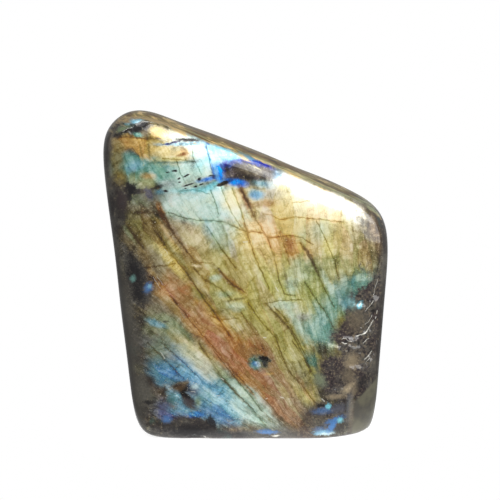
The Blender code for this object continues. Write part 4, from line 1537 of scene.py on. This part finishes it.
def add_softbox(name, place, aim, size, power):
    """A rectangular area light that looks at a point."""
    light = bpy.data.lights.new(name, "AREA")
    light.shape = "RECTANGLE"
    light.size, light.size_y = size
    light.energy = power
    lamp = bpy.data.objects.new(name, light)
    bpy.context.scene.collection.objects.link(lamp)
    aim_at(lamp, place, aim)


def around(azimuth, elevation, distance, centre):
    """A point seen from the centre at an azimuth and elevation; azimuth 0 is the front."""
    return Vector(face_normal(azimuth, elevation)) * distance + centre


# The point that the camera looks at, in millimetres.
CAMERA_AIM = (1.4, -0.85, 55.0)

# Softboxes: azimuth, elevation, distance, width and height in millimetres, power in watts.
SOFTBOXES = {
    "overhead_softbox": (25, 51, 500, 460, 380, 2.0),
    "left_softbox": (-62, 34, 560, 420, 420, 0.25),
    "fill_softbox": (38, 30, 560, 460, 400, 1.95),
}

# The white room: its brightness in front, where the camera stands, at the sides and behind;
# the depths between which one turns into the other, and how it darkens below the horizon.
ROOM_FRONT, ROOM_SIDE, ROOM_BACK = 0.08, 0.34, 0.36
SIDE_DEPTHS = (-0.9, -0.3)
BACK_DEPTHS = (0.2, 0.8)
LOW_HEIGHTS = (-0.3, 0.2)
LOW_SHARE = 0.4

# The floor: how many sides its disc has, its paint, its glow, and the share of its radius
# from which it fades out.
FLOOR_SIDES = 96
FLOOR_WHITE = 0.9
FLOOR_ROUGHNESS = 0.8
FLOOR_SPECULAR = 0.1
FLOOR_GLOW = 0.80
FLOOR_RIM = 0.3


class LABRADORITE_OT_stage(bpy.types.Operator):
    """Set the stage: a plain pale floor, soft lights, a plain world and the camera"""

    bl_idname = "labradorite.stage"
    bl_label = "Stage"

    def execute(self, context):
        settings = context.scene.stage_settings
        self.make_floor(settings.floor_radius)
        centre = Vector((0.0, 0.0, FORM_HEIGHT / 2 * MM))
        for name, (azimuth, elevation, distance, width, height, power) in SOFTBOXES.items():
            place = around(azimuth, elevation, distance * MM, centre)
            add_softbox(name, place, centre, (width * MM, height * MM), power)
        self.make_world(context.scene)
        self.make_camera(context.scene, settings)
        context.scene.view_settings.view_transform = "Standard"
        return {"FINISHED"}

    @staticmethod
    def make_floor(radius):
        """A round pale floor."""
        disc = bmesh.new()
        bmesh.ops.create_circle(disc, cap_ends=True, segments=FLOOR_SIDES, radius=radius)
        mesh = bpy.data.meshes.new("stage_floor")
        disc.to_mesh(mesh)
        disc.free()
        floor = bpy.data.objects.new("stage_floor", mesh)
        bpy.context.scene.collection.objects.link(floor)
        material = bpy.data.materials.new("pale_floor")
        material.use_nodes = True
        graph = Graph(material.node_tree)
        _, _, _, place, *_ = graph.outputs(graph.add("TexCoord"))
        shader = graph.add("BsdfPrincipled", {}, {
            "Base Color": (FLOOR_WHITE, FLOOR_WHITE, FLOOR_WHITE, 1.0),
            "Roughness": FLOOR_ROUGHNESS,
            "Specular IOR Level": FLOOR_SPECULAR,
            "Emission Color": WHITE,
            "Emission Strength": FLOOR_GLOW,
            "Alpha": graph.step(graph.length(place), radius, radius * FLOOR_RIM),
        })
        graph.add("OutputMaterial", {}, {0: shader})
        mesh.materials.append(material)

    @staticmethod
    def make_world(scene):
        """A white room, darker towards its front, where the camera stands."""
        world = bpy.data.worlds.new("pale_room")
        world.use_nodes = True
        scene.world = world
        graph = Graph(world.node_tree)
        direction = graph.add("TexCoord")
        _, depth, height = graph.split(direction)
        sides = graph.step(depth, *SIDE_DEPTHS, ROOM_SIDE - ROOM_FRONT)
        walls = sides + graph.step(depth, *BACK_DEPTHS, ROOM_BACK - ROOM_SIDE)
        room = walls * (graph.step(height, *LOW_HEIGHTS, 1 - LOW_SHARE) + LOW_SHARE) + ROOM_FRONT
        seen = graph.add("LightPath")
        strength = seen * (1.0 - room) + room
        background = graph.add("Background", {}, {"Color": WHITE, "Strength": strength})
        graph.add("OutputWorld", {}, {0: background})

    @staticmethod
    def make_camera(scene, settings):
        """The camera, a little above the stone's middle and looking slightly down."""
        data = bpy.data.cameras.new("camera")
        data.lens = settings.lens
        camera = bpy.data.objects.new("camera", data)
        scene.collection.objects.link(camera)
        aim = Vector(CAMERA_AIM) * MM
        aim_at(camera, around(0, math.degrees(settings.elevation), settings.distance, aim), aim)
        scene.camera = camera


class LABRADORITE_PT_panel(bpy.types.Panel):
    """The sidebar panel that lists the steps"""

    bl_idname = "LABRADORITE_PT_panel"
    bl_label = "Labradorite"
    bl_space_type = "VIEW_3D"
    bl_region_type = "UI"
    bl_category = "Labradorite"

    def draw(self, context):
        column = self.layout.column()
        for operator in OPERATORS:
            column.operator(operator.bl_idname)
        for name, group in GROUPS.items():
            for size in group.__annotations__:
                column.prop(getattr(context.scene, name), size)


OPERATORS = (LABRADORITE_OT_stone, LABRADORITE_OT_stage)
GROUPS = {
    "stone_colours": StoneColours,
    "stone_sizes": StoneSizes,
    "stage_settings": StageSettings,
}
CLASSES = (*GROUPS.values(), *OPERATORS, LABRADORITE_PT_panel)


def register():
    """Register the classes and hang the property groups on the scene."""
    for kind in CLASSES:
        bpy.utils.register_class(kind)
    for name, group in GROUPS.items():
        setattr(bpy.types.Scene, name, PointerProperty(type=group))


def unregister():
    """Take everything off again."""
    for name in GROUPS:
        delattr(bpy.types.Scene, name)
    for kind in reversed(CLASSES):
        bpy.utils.unregister_class(kind)


def main():
    """Build the stone, then the stage."""
    register()
    bpy.ops.labradorite.stone()
    bpy.ops.labradorite.stage()


if __name__ == "__main__":
    main()
